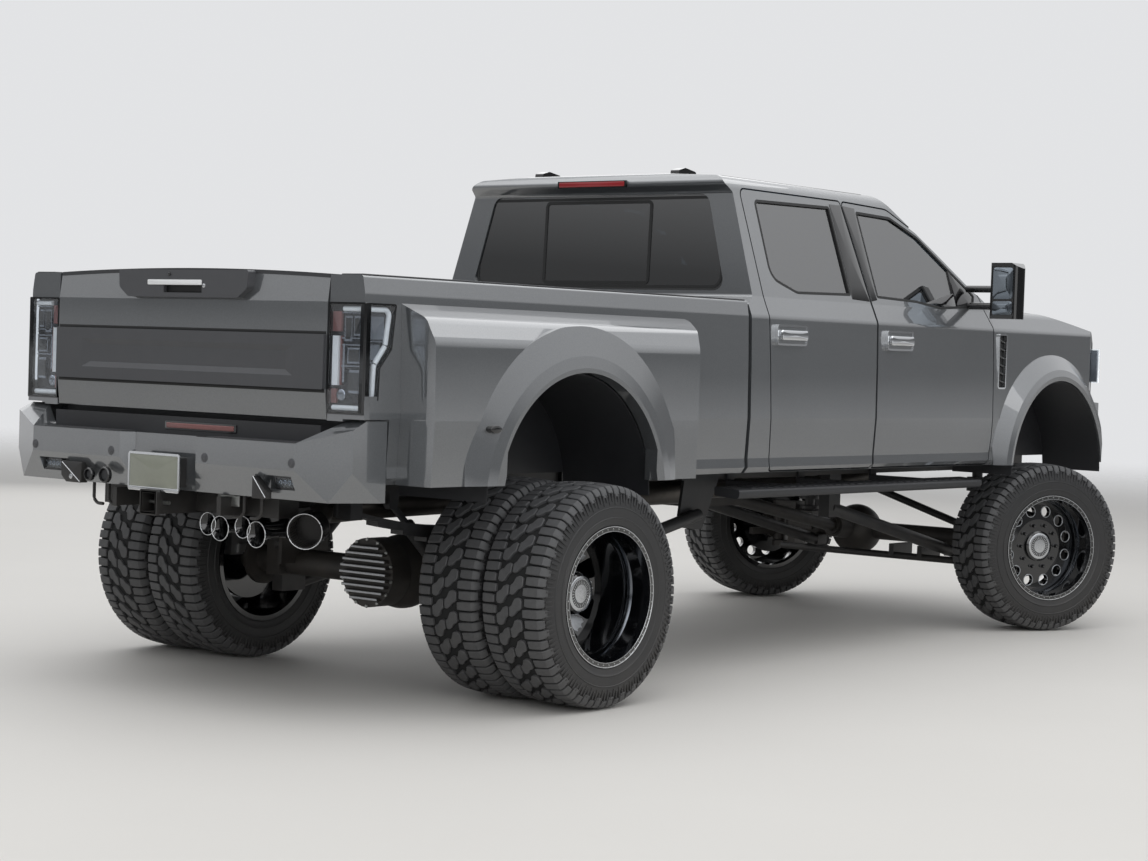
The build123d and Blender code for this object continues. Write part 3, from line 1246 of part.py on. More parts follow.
def wheel_nodes():
    """Knuckles, wheels and tyres of both axles."""
    front = from_front(tyre(FRONT_TRACK_HALF))
    twins = rear_wheels()
    rubber = [tyre(TWIN_INNER_Y), tyre(TWIN_OUTER_Y)]
    nodes = {
        "wheels_rear_left": twins,
        "wheels_rear_right": mirror(twins, about=Plane.XZ),
        "tyres_rear_left": group(rubber),
        "tyres_rear_right": group([mirror(piece, about=Plane.XZ) for piece in rubber]),
    }
    for name, shape in (("knuckle_", knuckle()), ("wheel_front_", front_wheel()), ("tyre_front_", front)):
        nodes[name + "left"] = steered(shape)
        nodes[name + "right"] = steered_right(shape)
    return nodes


def build():
    """All nodes by name, from the rear axle."""
    nodes = {
        "frame_rails": frame_rails(),
        "body_mounts": body_mounts(),
        "hitch_receiver": hitch(),
        "rear_bumper": rear_bumper(),
        "bed": bed(),
        "rear_fenders": group(pair(rear_fender())),
        "tailgate": tailgate(),
        "tailgate_trim": tailgate_trim(),
        "tail_lamps": group(pair(tail_lamp(0))),
        "rear_axle": rear_axle(),
        "rear_calipers": rear_calipers(),
        "front_axle": front_axle(),
        "front_suspension": front_suspension(),
        "rear_suspension": rear_suspension(),
        "exhaust": exhaust(),
        "drive_shafts": drive_shafts(),
        "train_horns": horns(),
    }
    nodes.update(cab_nodes())
    nodes.update(wheel_nodes())
    return nodes


CENTRE_X = (WHEELBASE + FRONT_OVERHANG - REAR_OVERHANG) / 2
os.makedirs("parts", exist_ok=True)
for name, shape in build().items():
    export_step(Pos(-CENTRE_X, 0, 0) * shape, "parts/" + name + ".step")
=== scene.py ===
"""Crew cab pickup truck on tall suspension, dressed for a studio picture.

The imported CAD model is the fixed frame. The classes below add the pieces that carry its looks: tyre treads,
wheels, lamps, trim and fittings. They also give every CAD node its finish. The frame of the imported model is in
metres: X forward, Y to the left, Z up from the ground. Tyres, wheel places and the stage are drawn in metres.
All other pieces are drawn in millimetres, with X from the rear axle, and are moved to that frame by fit().
"""

from __future__ import annotations

import json
import logging
import math
from collections.abc import Callable, Sequence
from dataclasses import dataclass
from enum import Enum
from typing import Any

import bmesh
import bpy
import numpy as np
from mathutils import Matrix, Vector

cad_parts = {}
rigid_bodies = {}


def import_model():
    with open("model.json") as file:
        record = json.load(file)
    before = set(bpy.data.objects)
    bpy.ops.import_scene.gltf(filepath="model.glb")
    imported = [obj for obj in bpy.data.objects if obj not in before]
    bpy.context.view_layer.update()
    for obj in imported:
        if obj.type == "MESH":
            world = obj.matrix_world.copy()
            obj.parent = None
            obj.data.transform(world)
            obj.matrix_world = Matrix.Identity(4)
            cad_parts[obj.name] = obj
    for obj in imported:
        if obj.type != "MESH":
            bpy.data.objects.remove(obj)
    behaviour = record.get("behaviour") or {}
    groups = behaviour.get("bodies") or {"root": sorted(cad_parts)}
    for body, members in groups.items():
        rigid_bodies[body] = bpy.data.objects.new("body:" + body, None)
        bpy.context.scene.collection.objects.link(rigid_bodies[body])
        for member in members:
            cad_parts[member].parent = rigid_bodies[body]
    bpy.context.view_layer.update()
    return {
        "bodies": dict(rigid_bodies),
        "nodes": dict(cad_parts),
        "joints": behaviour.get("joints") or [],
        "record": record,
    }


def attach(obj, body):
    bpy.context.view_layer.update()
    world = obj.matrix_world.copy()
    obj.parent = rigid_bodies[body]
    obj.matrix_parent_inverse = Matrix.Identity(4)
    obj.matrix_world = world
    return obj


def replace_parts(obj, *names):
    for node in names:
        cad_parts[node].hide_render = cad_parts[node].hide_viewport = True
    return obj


LOG = logging.getLogger("pickup")

MM = 1000.0
SHIFT_X = -2.055
WHEELBASE = 4.470
TYRE_RADIUS = 0.470
KINGPIN_Y = 0.790
FRONT_WHEEL_Y = 1.040
INNER_TWIN_Y, OUTER_TWIN_Y = 0.845, 1.195
STEER_AT_REST = math.radians(26.0)
FORWARD, BACKWARD = (1.0, 0.0, 0.0), (-1.0, 0.0, 0.0)
# Half angle in radians from which on a corner counts as straight
STRAIGHT = 1.56
# Share of Z from which on a direction counts as upright
STEEP = 0.9
TAILGATE = "tailgate_lid"
# Height, and half width of the body's side there
BODY_SECTION = ((935, 985), (962, 1006), (1005, 1003), (1193, 1013), (1450, 1008), (1676, 1000), (1772, 962),
                (2345, 790))
# Share of metal from which on a finish keeps the default refraction
METAL_SHARE = 0.5
DUST_COLOUR = "#8A8073"
# Sockets of a Mix node: both colours and the mixed one, and both values of a plain number
COLOUR_A, COLOUR_B, MIXED = 6, 7, 2
VALUE_A, VALUE_B = 2, 3


class Side(Enum):
    """Left and right of the truck, with the sign of Y."""

    LEFT = 1
    RIGHT = -1

    @property
    def word(self) -> str:
        """Name used in the CAD nodes."""
        return "left" if self is Side.LEFT else "right"


class Grain(Enum):
    """Which texture drives a finish's relief."""

    NONE = "none"
    NOISE = "noise"
    CELLS = "cells"


class Crease(Enum):
    """Edges sharper than this many degrees stay hard."""

    TREAD = 30.0
    PLAIN = 35.0
    TURNED = 40.0
    SOFT = 50.0
    ROUND = 60.0


def linear(code: str) -> tuple[float, float, float, float]:
    """Turn an sRGB hex code into linear colour.

    Args:
        code: Colour such as "#4A4D52".

    Returns:
        Red, green, blue and an alpha of 1.
    """
    values = np.array([int(code[i:i + 2], 16) for i in (1, 3, 5)]) / 255.0
    low, high = values / 12.92, ((values + 0.055) / 1.055) ** 2.4
    red, green, blue = np.where(values <= 0.04045, low, high)
    return float(red), float(green), float(blue), 1.0


def add_node(tree: bpy.types.NodeTree, kind: str, settings: dict[str | int, Any] | None = None,
             links: dict[str | int, bpy.types.NodeSocket] | None = None) -> bpy.types.Node:
    """Add one shader node with its settings and links.

    Args:
        tree: Node tree that gets the node.
        kind: Blender's type name of the node, without ShaderNode in front.
        settings: Attribute values, or socket values for names that are sockets.
        links: Input socket name or number to the output socket that feeds it.

    Returns:
        The new node.
    """
    node = tree.nodes.new(f"ShaderNode{kind}")
    for key, value in (settings or {}).items():
        if isinstance(key, int) or key in node.inputs:
            node.inputs[key].default_value = value
        else:
            setattr(node, key, value)
    for key, source in (links or {}).items():
        tree.links.new(source, node.inputs[key])
    return node


def add_object(name: str, data: bpy.types.ID) -> bpy.types.Object:
    """Add an object at the origin that shows a mesh, a lamp or a camera.

    Args:
        name: Its name.
        data: What it shows.

    Returns:
        The new object.
    """
    item = bpy.data.objects.new(name, data)
    bpy.context.scene.collection.objects.link(item)
    return item


@dataclass(frozen=True)
class Finish:
    """A real material and its surface, built from shader nodes.

    Sizes are in millimetres on the object, and colours are sRGB hex codes.
    """

    name: str
    slot: str
    colour: str
    second: str = ""
    mottle_mm: float = 60.0
    metallic: float = 0.0
    roughness: float = 0.5
    roughness_spread: float = 0.0
    ior: float = 1.5
    coat: float = 0.0
    coat_roughness: float = 0.03
    coat_ior: float = 1.5
    grain: Grain = Grain.NONE
    grain_mm: float = 2.0
    relief_mm: float = 0.1
    clear: str = ""
    dust: float = 0.0
    dust_top: float = 1.0
    flake_mm: float = 0.0

    def make(self) -> bpy.types.Material:
        """Build the material once and give it back on later calls.

        Returns:
            The material.
        """
        ready = bpy.data.materials.get(self.name)
        if ready is not None:
            return ready
        material = bpy.data.materials.new(self.name)
        material.use_nodes = True
        tree = material.node_tree
        tree.nodes.clear()
        place = add_node(tree, "TexCoord")
        shader = add_node(tree, "BsdfPrincipled", {
            "Metallic": self.metallic,
            "Roughness": self.roughness,
            "Coat Weight": self.coat,
            "Coat Roughness": self.coat_roughness,
            "Coat IOR": self.coat_ior,
        })
        if self.metallic < METAL_SHARE:
            shader.inputs["IOR"].default_value = self.ior
        mottle = add_node(tree, "TexNoise", {"Scale": MM / self.mottle_mm, "Detail": 5.0},
                          {"Vector": place.outputs["Object"]})
        colour = add_node(tree, "Mix", {"data_type": "RGBA"}, {0: mottle.outputs["Fac"]})
        colour.inputs[COLOUR_A].default_value = linear(self.colour)
        colour.inputs[COLOUR_B].default_value = linear(self.second or self.colour)
        base = colour.outputs[MIXED]
        if self.flake_mm:
            flakes = add_node(tree, "TexVoronoi", {"Scale": MM / self.flake_mm},
                              {"Vector": place.outputs["Object"]})
            bright = add_node(tree, "MapRange", {"To Min": 0.86, "To Max": 1.16},
                              {"Value": flakes.outputs["Color"]})
            lit = add_node(tree, "Mix", {"data_type": "RGBA", "blend_type": "MULTIPLY", 0: 1.0},
                           {COLOUR_A: base, COLOUR_B: bright.outputs[0]})
            base = lit.outputs[MIXED]
        if self.dust:
            base = self._dusted(tree, place, base)
        tree.links.new(base, shader.inputs["Base Color"])
        if self.roughness_spread:
            spread = add_node(tree, "MapRange", {
                "To Min": self.roughness - self.roughness_spread,
                "To Max": self.roughness + self.roughness_spread,
            }, {"Value": mottle.outputs["Fac"]})
            tree.links.new(spread.outputs[0], shader.inputs["Roughness"])
        if self.grain is not Grain.NONE:
            kind = "TexNoise" if self.grain is Grain.NOISE else "TexVoronoi"
            texture = add_node(tree, kind, {"Scale": MM / self.grain_mm}, {"Vector": place.outputs["Object"]})
            bump = add_node(tree, "Bump", {"Strength": 0.6, "Distance": self.relief_mm / MM},
                            {"Height": texture.outputs[0]})
            tree.links.new(bump.outputs[0], shader.inputs["Normal"])
        surface = shader.outputs[0]
        if self.clear:
            # A thin clear sheet: its skin mirrors, and the light that passes is tinted at each crossing
            passing = add_node(tree, "BsdfTransparent", {"Color": linear(self.clear)})
            surface = add_node(tree, "AddShader", {}, {0: surface, 1: passing.outputs[0]}).outputs[0]
        add_node(tree, "OutputMaterial", {}, {"Surface": surface})
        return material

    def _dusted(self, tree: bpy.types.NodeTree, place: bpy.types.Node,
                base: bpy.types.NodeSocket) -> bpy.types.NodeSocket:
        """Road dust that thins out with height.

        Args:
            tree: Node tree of the material.
            place: Texture Coordinate node.
            base: Output socket with the clean colour.

        Returns:
            Output socket with the dusted colour.
        """
        split = add_node(tree, "SeparateXYZ", {}, {0: place.outputs["Object"]})
        height = add_node(tree, "MapRange", {"From Max": self.dust_top, "To Min": self.dust, "To Max": 0.0},
                          {"Value": split.outputs["Z"]})
        patch = add_node(tree, "TexNoise", {"Scale": 9.0, "Detail": 8.0},
                         {"Vector": place.outputs["Object"]})
        amount = add_node(tree, "Math", {"operation": "MULTIPLY"},
                          {0: height.outputs[0], 1: patch.outputs["Fac"]})
        dusty = add_node(tree, "Mix", {"data_type": "RGBA"}, {0: amount.outputs[0], COLOUR_A: base})
        dusty.inputs[COLOUR_B].default_value = linear(DUST_COLOUR)
        return dusty.outputs[MIXED]


class Finishes:
    """The finishes of the truck."""

    # Metallic lacquer under clear coat: grey flakes in a glossy skin
    BODY_PAINT = Finish("metallic_lacquer_grey", "body_paint", "#5F6265", "#66696C", 400, 0.55, 0.30, coat=1.0,
                        coat_ior=2.1, coat_roughness=0.015, flake_mm=2.0)
    # Moulded panel in satin lacquer
    SATIN_PANEL = Finish("satin_lacquer_grey", "dark_trim", "#505154", "#4B4C4F", 90, 0.25, 0.42, 0.05,
                         grain=Grain.NOISE, grain_mm=3.0, relief_mm=0.05)
    # Moulded plastic with a leather-like grain
    MOULDED_PLASTIC = Finish("moulded_polypropylene_black", "dark_trim", "#222326", "#2A2B2E", 40, 0.0, 0.5, 0.06,
                             grain=Grain.CELLS, grain_mm=1.6, relief_mm=0.12)
    GLOSS_PLASTIC = Finish("piano_black_acrylic", "dark_trim", "#08090B", "#0B0C0E", 80, 0.0, 0.08, coat=0.6)
    # Powder coated steel, a little dusty below
    CHASSIS_STEEL = Finish("powder_coated_steel_black", "chassis_black", "#17181A", "#1F2022", 70, 0.0, 0.42, 0.08,
                           grain=Grain.NOISE, grain_mm=4.0, relief_mm=0.15, dust=0.35, dust_top=1.1)
    # Cast iron parts of the axles
    CAST_IRON = Finish("cast_iron_grey_black", "cast_dark", "#232426", "#2E2E2F", 30, 0.2, 0.5, 0.1,
                       grain=Grain.NOISE, grain_mm=3.0, relief_mm=0.4, dust=0.4, dust_top=1.1)
    CAST_ALUMINIUM = Finish("cast_aluminium", "cast_silver", "#A9A9A8", "#8D8E90", 25, 0.9, 0.42, 0.1,
                            grain=Grain.NOISE, grain_mm=2.5, relief_mm=0.3)
    SPRING_STEEL = Finish("shot_peened_spring_steel", "steel_grey", "#2B2D30", "#383A3D", 30, 0.4, 0.44, 0.08,
                          grain=Grain.NOISE, grain_mm=2.0, relief_mm=0.12, dust=0.3, dust_top=1.1)
    GLOSS_BLACK_WHEEL = Finish("gloss_lacquered_alloy_black", "wheel_black", "#07080A", "#0B0C0F", 120, 0.1, 0.14,
                               coat=1.0, coat_roughness=0.02)
    # Barrel step under dark lacquer, which carries a band of light
    DARK_CHROME = Finish("dark_lacquered_alloy", "wheel_black", "#74787E", "#6C7076", 120, 1.0, 0.16)
    MACHINED_ALLOY = Finish("machined_aluminium", "cast_silver", "#C9CBCD", "#B9BBBE", 12, 1.0, 0.24, 0.05)
    CLAW_ALLOY = Finish("brushed_lacquered_aluminium", "cast_silver", "#B4B7BB", "#A3A6AA", 9, 0.45, 0.34, 0.05,
                        coat=0.6)
    ZINC_BOLTS = Finish("zinc_plated_steel", "steel_grey", "#A4A6A4", "#8E908E", 10, 0.9, 0.34, 0.06)
    CHROME = Finish("chrome_plate", "cast_silver", "#D4D6D8", "#CFD1D4", 200, 1.0, 0.07)
    # Vulcanised rubber with a matt skin and road dust
    TYRE_RUBBER = Finish("vulcanised_rubber_black", "rubber_tyre", "#212224", "#2B2C2E", 35, 0.0, 0.5, 0.08,
                         grain=Grain.NOISE, grain_mm=2.0, relief_mm=0.2, dust=0.10, dust_top=1.0)
    # Faces of the tread blocks, scuffed grey by the road
    TREAD_RUBBER = Finish("scuffed_tread_rubber", "rubber_tyre", "#4F5052", "#404143", 22, 0.0, 0.6, 0.1,
                          grain=Grain.NOISE, grain_mm=1.4, relief_mm=0.2, dust=0.12, dust_top=0.9)
    # Groove floors: the tyre's own rubber painted near black, as painted shade in the grooves
    GROOVE_RUBBER = Finish("tread_groove_painted_shade", "rubber_tyre", "#0D0E0F", "#131415", 30, 0.0, 0.8)
    SEAL_RUBBER = Finish("extruded_rubber_seal", "mount_rubber", "#0C0D0E", "#111213", 40, 0.0, 0.6)
    MOUNT_RUBBER = Finish("moulded_mount_rubber", "mount_rubber", "#141516", "#1B1C1D", 20, 0.0, 0.65, 0.05)
    PRIVACY_GLASS = Finish("privacy_glass", "tinted_glass", "#05070A", "#07090B", 500, 0.0, 0.02, ior=2.6,
                           clear="#565E64")
    CLEAR_LENS = Finish("clear_polycarbonate", "lamp_lens", "#06080A", "#08090A", 500, 0.0, 0.03, ior=1.49,
                        clear="#F0F3F5")
    SMOKED_LENS = Finish("smoked_polycarbonate", "tail_lens", "#08090A", "#0A0B0C", 500, 0.0, 0.03, ior=1.49,
                         clear="#F1F3F5")
    RED_LENS = Finish("red_acrylic", "tail_lens", "#8E1A20", "#9C2026", 60, 0.0, 0.14, ior=1.49, coat=0.5)
    PINK_LENS = Finish("pale_red_reflector", "tail_lens", "#8A5B58", "#7A4E4C", 14, 0.2, 0.3, ior=1.49, coat=0.4,
                       grain=Grain.CELLS, grain_mm=5.0, relief_mm=0.5)
    WHITE_LENS = Finish("frosted_acrylic_white", "lamp_lens", "#E6E8EA", "#EEF0F1", 40, 0.0, 0.22, ior=1.49)
    LAMP_DARK = Finish("blackened_lamp_housing", "lamp_lens", "#1E2127", "#2A2D34", 30, 0.35, 0.22)
    LAMP_BRIGHT = Finish("vacuum_metallised_plastic", "lamp_lens", "#A9ADB3", "#8E929A", 30, 1.0, 0.16, 0.04)
    EXHAUST_STEEL = Finish("heat_dulled_stainless_steel", "exhaust_steel", "#5E5B57", "#4A4744", 60, 0.9, 0.38, 0.08,
                           dust=0.3)
    BLACKENED_STEEL = Finish("blackened_stainless_steel", "exhaust_steel", "#1A1A1B", "#242323", 50, 0.6, 0.25, 0.05)
    SEAT_LEATHER = Finish("seat_leather_black", "seat_leather", "#262423", "#2E2C2B", 60, 0.0, 0.46, 0.05,
                          grain=Grain.CELLS, grain_mm=2.5, relief_mm=0.2)
    SEAT_THREAD = Finish("waxed_polyester_thread", "seat_leather", "#8C8780", "#7C7872", 3, 0.0, 0.6)
    CABIN_PLASTIC = Finish("soft_touch_cabin_plastic", "interior_plastic", "#2B2B2C", "#333334", 50, 0.0, 0.6, 0.05,
                           grain=Grain.CELLS, grain_mm=1.8, relief_mm=0.12)
    PLATE_PAINT = Finish("painted_plate_grey", "steel_grey", "#8E9184", "#83867B", 60, 0.1, 0.3, coat=0.5)
    MIRROR_GLASS = Finish("silvered_glass", "cast_silver", "#8B939B", "#8B939B", 500, 1.0, 0.03)


Shape = tuple[np.ndarray, np.ndarray]
Point = tuple[float, float, float]
# U, V and radius of an outline's corner
Corner = tuple[float, float, float]
Rows = Sequence[Corner] | np.ndarray


def grid_faces(rows: int, cols: int, close_cols: bool, close_rows: bool = False) -> np.ndarray:
    """Quads of a grid of points, row by row.

    Args:
        rows: Number of rows of points.
        cols: Number of points in each row.
        close_cols: Join the last point of each row to its first.
        close_rows: Join the last row to the first.

    Returns:
        Array of quads, four point numbers each.
    """
    i = np.arange(rows if close_rows else rows - 1)
    j = np.arange(cols if close_cols else cols - 1)
    a, b = np.meshgrid(i, j, indexing="ij")
    a, b = a.ravel(), b.ravel()
    a2, b2 = (a + 1) % rows, (b + 1) % cols
    return np.stack([a * cols + b, a * cols + b2, a2 * cols + b2, a2 * cols + b], axis=1)


def turned(profile: list[tuple[float, float]] | np.ndarray, steps: int = 96) -> Shape:
    """Surface of revolution about the Y axis: each profile point (y, r) runs round a circle of radius r.

    Args:
        profile: Points of (y, radius).
        steps: Number of points round the circle.

    Returns:
        Points and quads.
    """
    table = np.asarray(profile, float)
    angle = np.linspace(0.0, 2.0 * math.pi, steps, endpoint=False)
    r, t = np.meshgrid(table[:, 1], angle, indexing="ij")
    y, _ = np.meshgrid(table[:, 0], angle, indexing="ij")
    points = np.stack([r * np.sin(t), y, r * np.cos(t)], axis=-1).reshape(-1, 3)
    return points, grid_faces(len(table), steps, True)


def joined(shapes: list[Shape]) -> Shape:
    """Several shapes as one: each one's point numbers move up by the points before it.

    Args:
        shapes: Shapes to join.

    Returns:
        One list of points and one of faces.
    """
    points, faces, start = [], [], 0
    for p, f in shapes:
        points.append(p)
        faces.append(f + start)
        start += len(p)
    return np.concatenate(points), np.concatenate(faces)


class Face(Enum):
    """Which way a slab's front looks; its outline is drawn in the two other directions."""

    REAR = "rear"
    FRONT = "front"
    SIDE = "side"
    TOP = "top"

    def place(self, points: np.ndarray) -> np.ndarray:
        """Turn (u, v, w) into (x, y, z).

        Args:
            points: Outline directions u and v, and w towards the front of the slab.

        Returns:
            Points as x, y and z.
        """
        u, v, w = points[..., 0], points[..., 1], points[..., 2]
        table = {Face.REAR: (-w, u, v), Face.FRONT: (w, u, v), Face.SIDE: (u, w, v), Face.TOP: (u, v, w)}
        return np.stack(table[self], axis=-1)


def rounded_loop(rows: Sequence[Corner], steps: int = 5) -> np.ndarray:
    """Closed outline with its corners rounded.

    Each corner's arc is tangent to both edges: its centre lies on the bisector, and the points run along it.

    Args:
        rows: Corner points and radii (u, v, radius).
        steps: Points on each rounded corner.

    Returns:
        Array of (u, v).
    """
    table = np.array(rows, float)
    out = []
    for before, here, after in zip(np.roll(table, 1, axis=0), table, np.roll(table, -1, axis=0)):
        a, b = before[:2] - here[:2], after[:2] - here[:2]
        a, b = a / np.linalg.norm(a), b / np.linalg.norm(b)
        half = math.acos(float(np.clip(a @ b, -1, 1))) / 2
        if here[2] <= 0 or half > STRAIGHT:
            out.append(here[None, :2])
            continue
        reach = here[2] / math.tan(half)
        middle = here[:2] + (a + b) / np.linalg.norm(a + b) * here[2] / math.sin(half)
        first, last = here[:2] + a * reach - middle, here[:2] + b * reach - middle
        share = np.linspace(0, 1, steps)[:, None]
        arc = first * (1 - share) + last * share
        out.append(middle + arc / np.linalg.norm(arc, axis=1)[:, None] * here[2])
    return np.concatenate(out)


def inset(loop: np.ndarray, amount: float) -> np.ndarray:
    """Outline moved inwards: each point moves along the mitre of its two edges.

    Args:
        loop: Closed outline.
        amount: Distance inwards; less than nothing moves it outwards.

    Returns:
        The moved outline.
    """
    edge = np.roll(loop, -1, axis=0) - loop
    edge /= np.linalg.norm(edge, axis=1)[:, None] + 1e-12
    normal = np.stack([-edge[:, 1], edge[:, 0]], axis=1)
    x, y = loop[:, 0], loop[:, 1]
    if (x * np.roll(y, -1) - np.roll(x, -1) * y).sum() < 0:
        normal = -normal
    mitre = normal + np.roll(normal, 1, axis=0)
    scale = 2.0 / np.maximum((mitre ** 2).sum(axis=1), 0.5)
    return loop + amount * mitre * scale[:, None]


def capped(rows: int, count: int) -> np.ndarray:
    """Faces of a tube of rings whose first and last ring close on two tips, which are stored after the rings.

    A triangle is stored as a quad that repeats its last point.

    Args:
        rows: Number of rings.
        count: Number of points in each ring.

    Returns:
        Array of faces, four point numbers each.
    """
    k, tips = np.arange(count), np.full(count, rows * count)
    after, base = (k + 1) % count, (rows - 1) * count
    foot = np.stack([after, k, tips, tips], axis=1)
    top = np.stack([base + k, base + after, tips + 1, tips + 1], axis=1)
    return np.concatenate([grid_faces(rows, count, True), foot, top])


def outline(rows: Rows) -> np.ndarray:
    """Closed outline: a ready one as it is, or corner rows with their corners rounded."""
    return rows if isinstance(rows, np.ndarray) else rounded_loop(rows)


def slab(face: Face, rows: Rows, w0: float, w1: float, soften: float = 1.5) -> Shape:
    """Flat piece with an outline and a softened front edge: rings of the outline, closed by fans.

    Args:
        face: Which way its front looks.
        rows: Corner points and radii, or a ready outline.
        w0: Back.
        w1: Front.
        soften: Radius of the front edge.

    Returns:
        Points and faces.
    """
    loop = outline(rows)
    way = math.copysign(1.0, w1 - w0)
    rings = [(0.0, w0), (0.0, w1 - way * soften), (0.3 * soften, w1 - way * 0.3 * soften), (soften, w1)]
    levels = [np.column_stack([inset(loop, d), np.full(len(loop), w)]) for d, w in rings]
    tips = np.array([[*loop.mean(axis=0), w] for w in (w0, w1)])
    return face.place(np.concatenate([*levels, tips])), capped(len(rings), len(loop))


def frame_band(face: Face, rows: Rows, width: float, w0: float, w1: float) -> Shape:
    """Closed band of rectangular section that follows an outline inwards.

    Args:
        face: Which way its front looks.
        rows: Outer outline, or its corner points and radii.
        width: Width of the band.
        w0: Back.
        w1: Front.

    Returns:
        Points and faces.
    """
    loop = outline(rows)
    inner = inset(loop, width)
    rings = [(loop, w0), (loop, w1), (inner, w1), (inner, w0)]
    points = np.concatenate([np.column_stack([ring, np.full(len(loop), w)]) for ring, w in rings])
    return face.place(points), grid_faces(len(rings), len(loop), True, True)


def rectangle(u0: float, u1: float, v0: float, v1: float, radius: float = 0.0) -> tuple[Corner, ...]:
    """Four corners with one radius."""
    return (u0, v0, radius), (u1, v0, radius), (u1, v1, radius), (u0, v1, radius)


def round_rows(u: float, v: float, radius: float, count: int = 20, height: float | None = None) -> np.ndarray:
    """Circle as an outline, by cosine and sine of even angles; an ellipse where its half height is given."""
    turn = np.linspace(0, 2 * math.pi, count, endpoint=False)
    return np.column_stack([u + radius * np.cos(turn), v + (height or radius) * np.sin(turn)])


def box_shape(x0: float, x1: float, y0: float, y1: float, z0: float, z1: float) -> Shape:
    """Closed box as eight corners and six quads."""
    grid = np.array([[x, y, z] for x in (x0, x1) for y in (y0, y1) for z in (z0, z1)])
    return grid, np.array([[0, 1, 3, 2], [4, 6, 7, 5], [0, 4, 5, 1], [2, 3, 7, 6], [0, 2, 6, 4], [1, 5, 7, 3]])


def boxes(rows: Sequence[tuple[float, ...]]) -> Shape:
    """Several closed boxes."""
    return joined([box_shape(*row) for row in rows])


def tube_shape(path: np.ndarray, radius: float, sides: int = 10) -> Shape:
    """Round bar along a path: at each point a circle stands square to the path's direction.

    Args:
        path: Points of (x, y, z).
        radius: Radius of the bar.
        sides: Points round it.

    Returns:
        Points and faces with both ends closed.
    """
    along = np.gradient(path, axis=0)
    along /= np.linalg.norm(along, axis=1)[:, None]
    helper = np.where(np.abs(along[:, 2:3]) > STEEP, np.array([[1.0, 0, 0]]), np.array([[0, 0, 1.0]]))
    side = np.cross(along, helper)
    side /= np.linalg.norm(side, axis=1)[:, None]
    up = np.cross(side, along)
    t = np.linspace(0, 2 * math.pi, sides, endpoint=False)
    ring = np.cos(t)[None, :, None] * side[:, None, :] + np.sin(t)[None, :, None] * up[:, None, :]
    points = (path[:, None, :] + radius * ring).reshape(-1, 3)
    return np.concatenate([points, path[:1], path[-1:]]), capped(len(path), sides)


def bar_along(path: Sequence[Point], radius: float, bend: float = 0.0, sides: int = 10) -> Shape:
    """Round bar through points; where a bend is given, each corner becomes a curve of six points.

    The curve is a parabola that leaves and meets the straight parts at the bend's distance from the corner.

    Args:
        path: Corner points of (x, y, z).
        radius: Radius of the bar.
        bend: Distance from a corner at which its curve starts.
        sides: Points round the bar.

    Returns:
        Points and faces.
    """
    points = np.array(path, float)
    if bend:
        rows = [points[0]]
        share = np.linspace(0, 1, 6)[:, None]
        for before, here, after in zip(points[:-2], points[1:-1], points[2:]):
            a, b = before - here, after - here
            a, b = here + a / np.linalg.norm(a) * bend, here + b / np.linalg.norm(b) * bend
            rows += list((1 - share) ** 2 * a + 2 * share * (1 - share) * here + share ** 2 * b)
        points = np.array([*rows, points[-1]])
    return tube_shape(points, radius, sides)


def mirrored(shape: Shape) -> Shape:
    """The shape on the other side of the truck, with its faces turned over; a triangle stays one."""
    points, faces = shape
    return points * np.array([1.0, -1.0, 1.0]), faces[:, [1, 0, 3, 2]]


def on_side(shape: Shape, side: Side) -> Shape:
    """A left shape, or its mirror image."""
    return shape if side is Side.LEFT else mirrored(shape)


def both_sides(shape: Shape) -> Shape:
    """A left shape and its mirror image."""
    return joined([shape, mirrored(shape)])


def moved(shape: Shape, offset: Point) -> Shape:
    """The shape at another place."""
    return shape[0] + np.array(offset, float), shape[1]


def aimed(shape: Shape, start: Point, along: Point) -> Shape:
    """Turn a shape drawn about the Y axis so that Y points along a direction, and move it to a start point.

    The rows of the turning matrix are the new axes: the direction, and two cross products square to it.

    Args:
        shape: Points and faces.
        start: Where its origin goes.
        along: Direction of its Y axis.

    Returns:
        The turned shape.
    """
    points, faces = shape
    y = np.array(along, float) / np.linalg.norm(along)
    x = np.cross(y, [0.0, 0.0, 1.0] if abs(y[2]) < STEEP else [1.0, 0.0, 0.0])
    x /= np.linalg.norm(x)
    return points @ np.stack([x, y, np.cross(x, y)]) + np.array(start, float), faces


def spun(shape: Shape, count: int, start: float = 0.0) -> Shape:
    """Copies of a shape evenly round the Y axis, each turned by the sine and cosine of its angle.

    Args:
        shape: Points and faces.
        count: Number of copies.
        start: Angle of the first one in degrees.

    Returns:
        All copies as one shape.
    """
    points, faces = shape
    copies = []
    for angle in np.radians(start) + np.arange(count) * 2 * math.pi / count:
        c, s = math.cos(angle), math.sin(angle)
        copies.append((points @ np.array([[c, 0.0, -s], [0.0, 1.0, 0.0], [s, 0.0, c]]), faces))
    return joined(copies)


def laid(shape: Shape, axis: int, wall: Sequence[tuple[float, float]], by: int = 2) -> Shape:
    """Lay a piece on a curved wall: one coordinate gets what the wall's table gives at another one.

    Args:
        shape: Points and faces, drawn as offsets from the wall.
        axis: Number of the coordinate that is lifted.
        wall: Table of (place, height of the wall).
        by: Number of the coordinate that is the place, Z where none is given.

    Returns:
        The shape on the wall.
    """
    points, faces = shape
    table = np.array(wall, float)
    lifted = points.copy()
    lifted[:, axis] += np.interp(points[:, by], table[:, 0], table[:, 1])
    return lifted, faces


def on_body(shape: Shape) -> Shape:
    """Lay a piece drawn for the left side on the body, whose half width is a table by height."""
    return laid(shape, 1, BODY_SECTION)


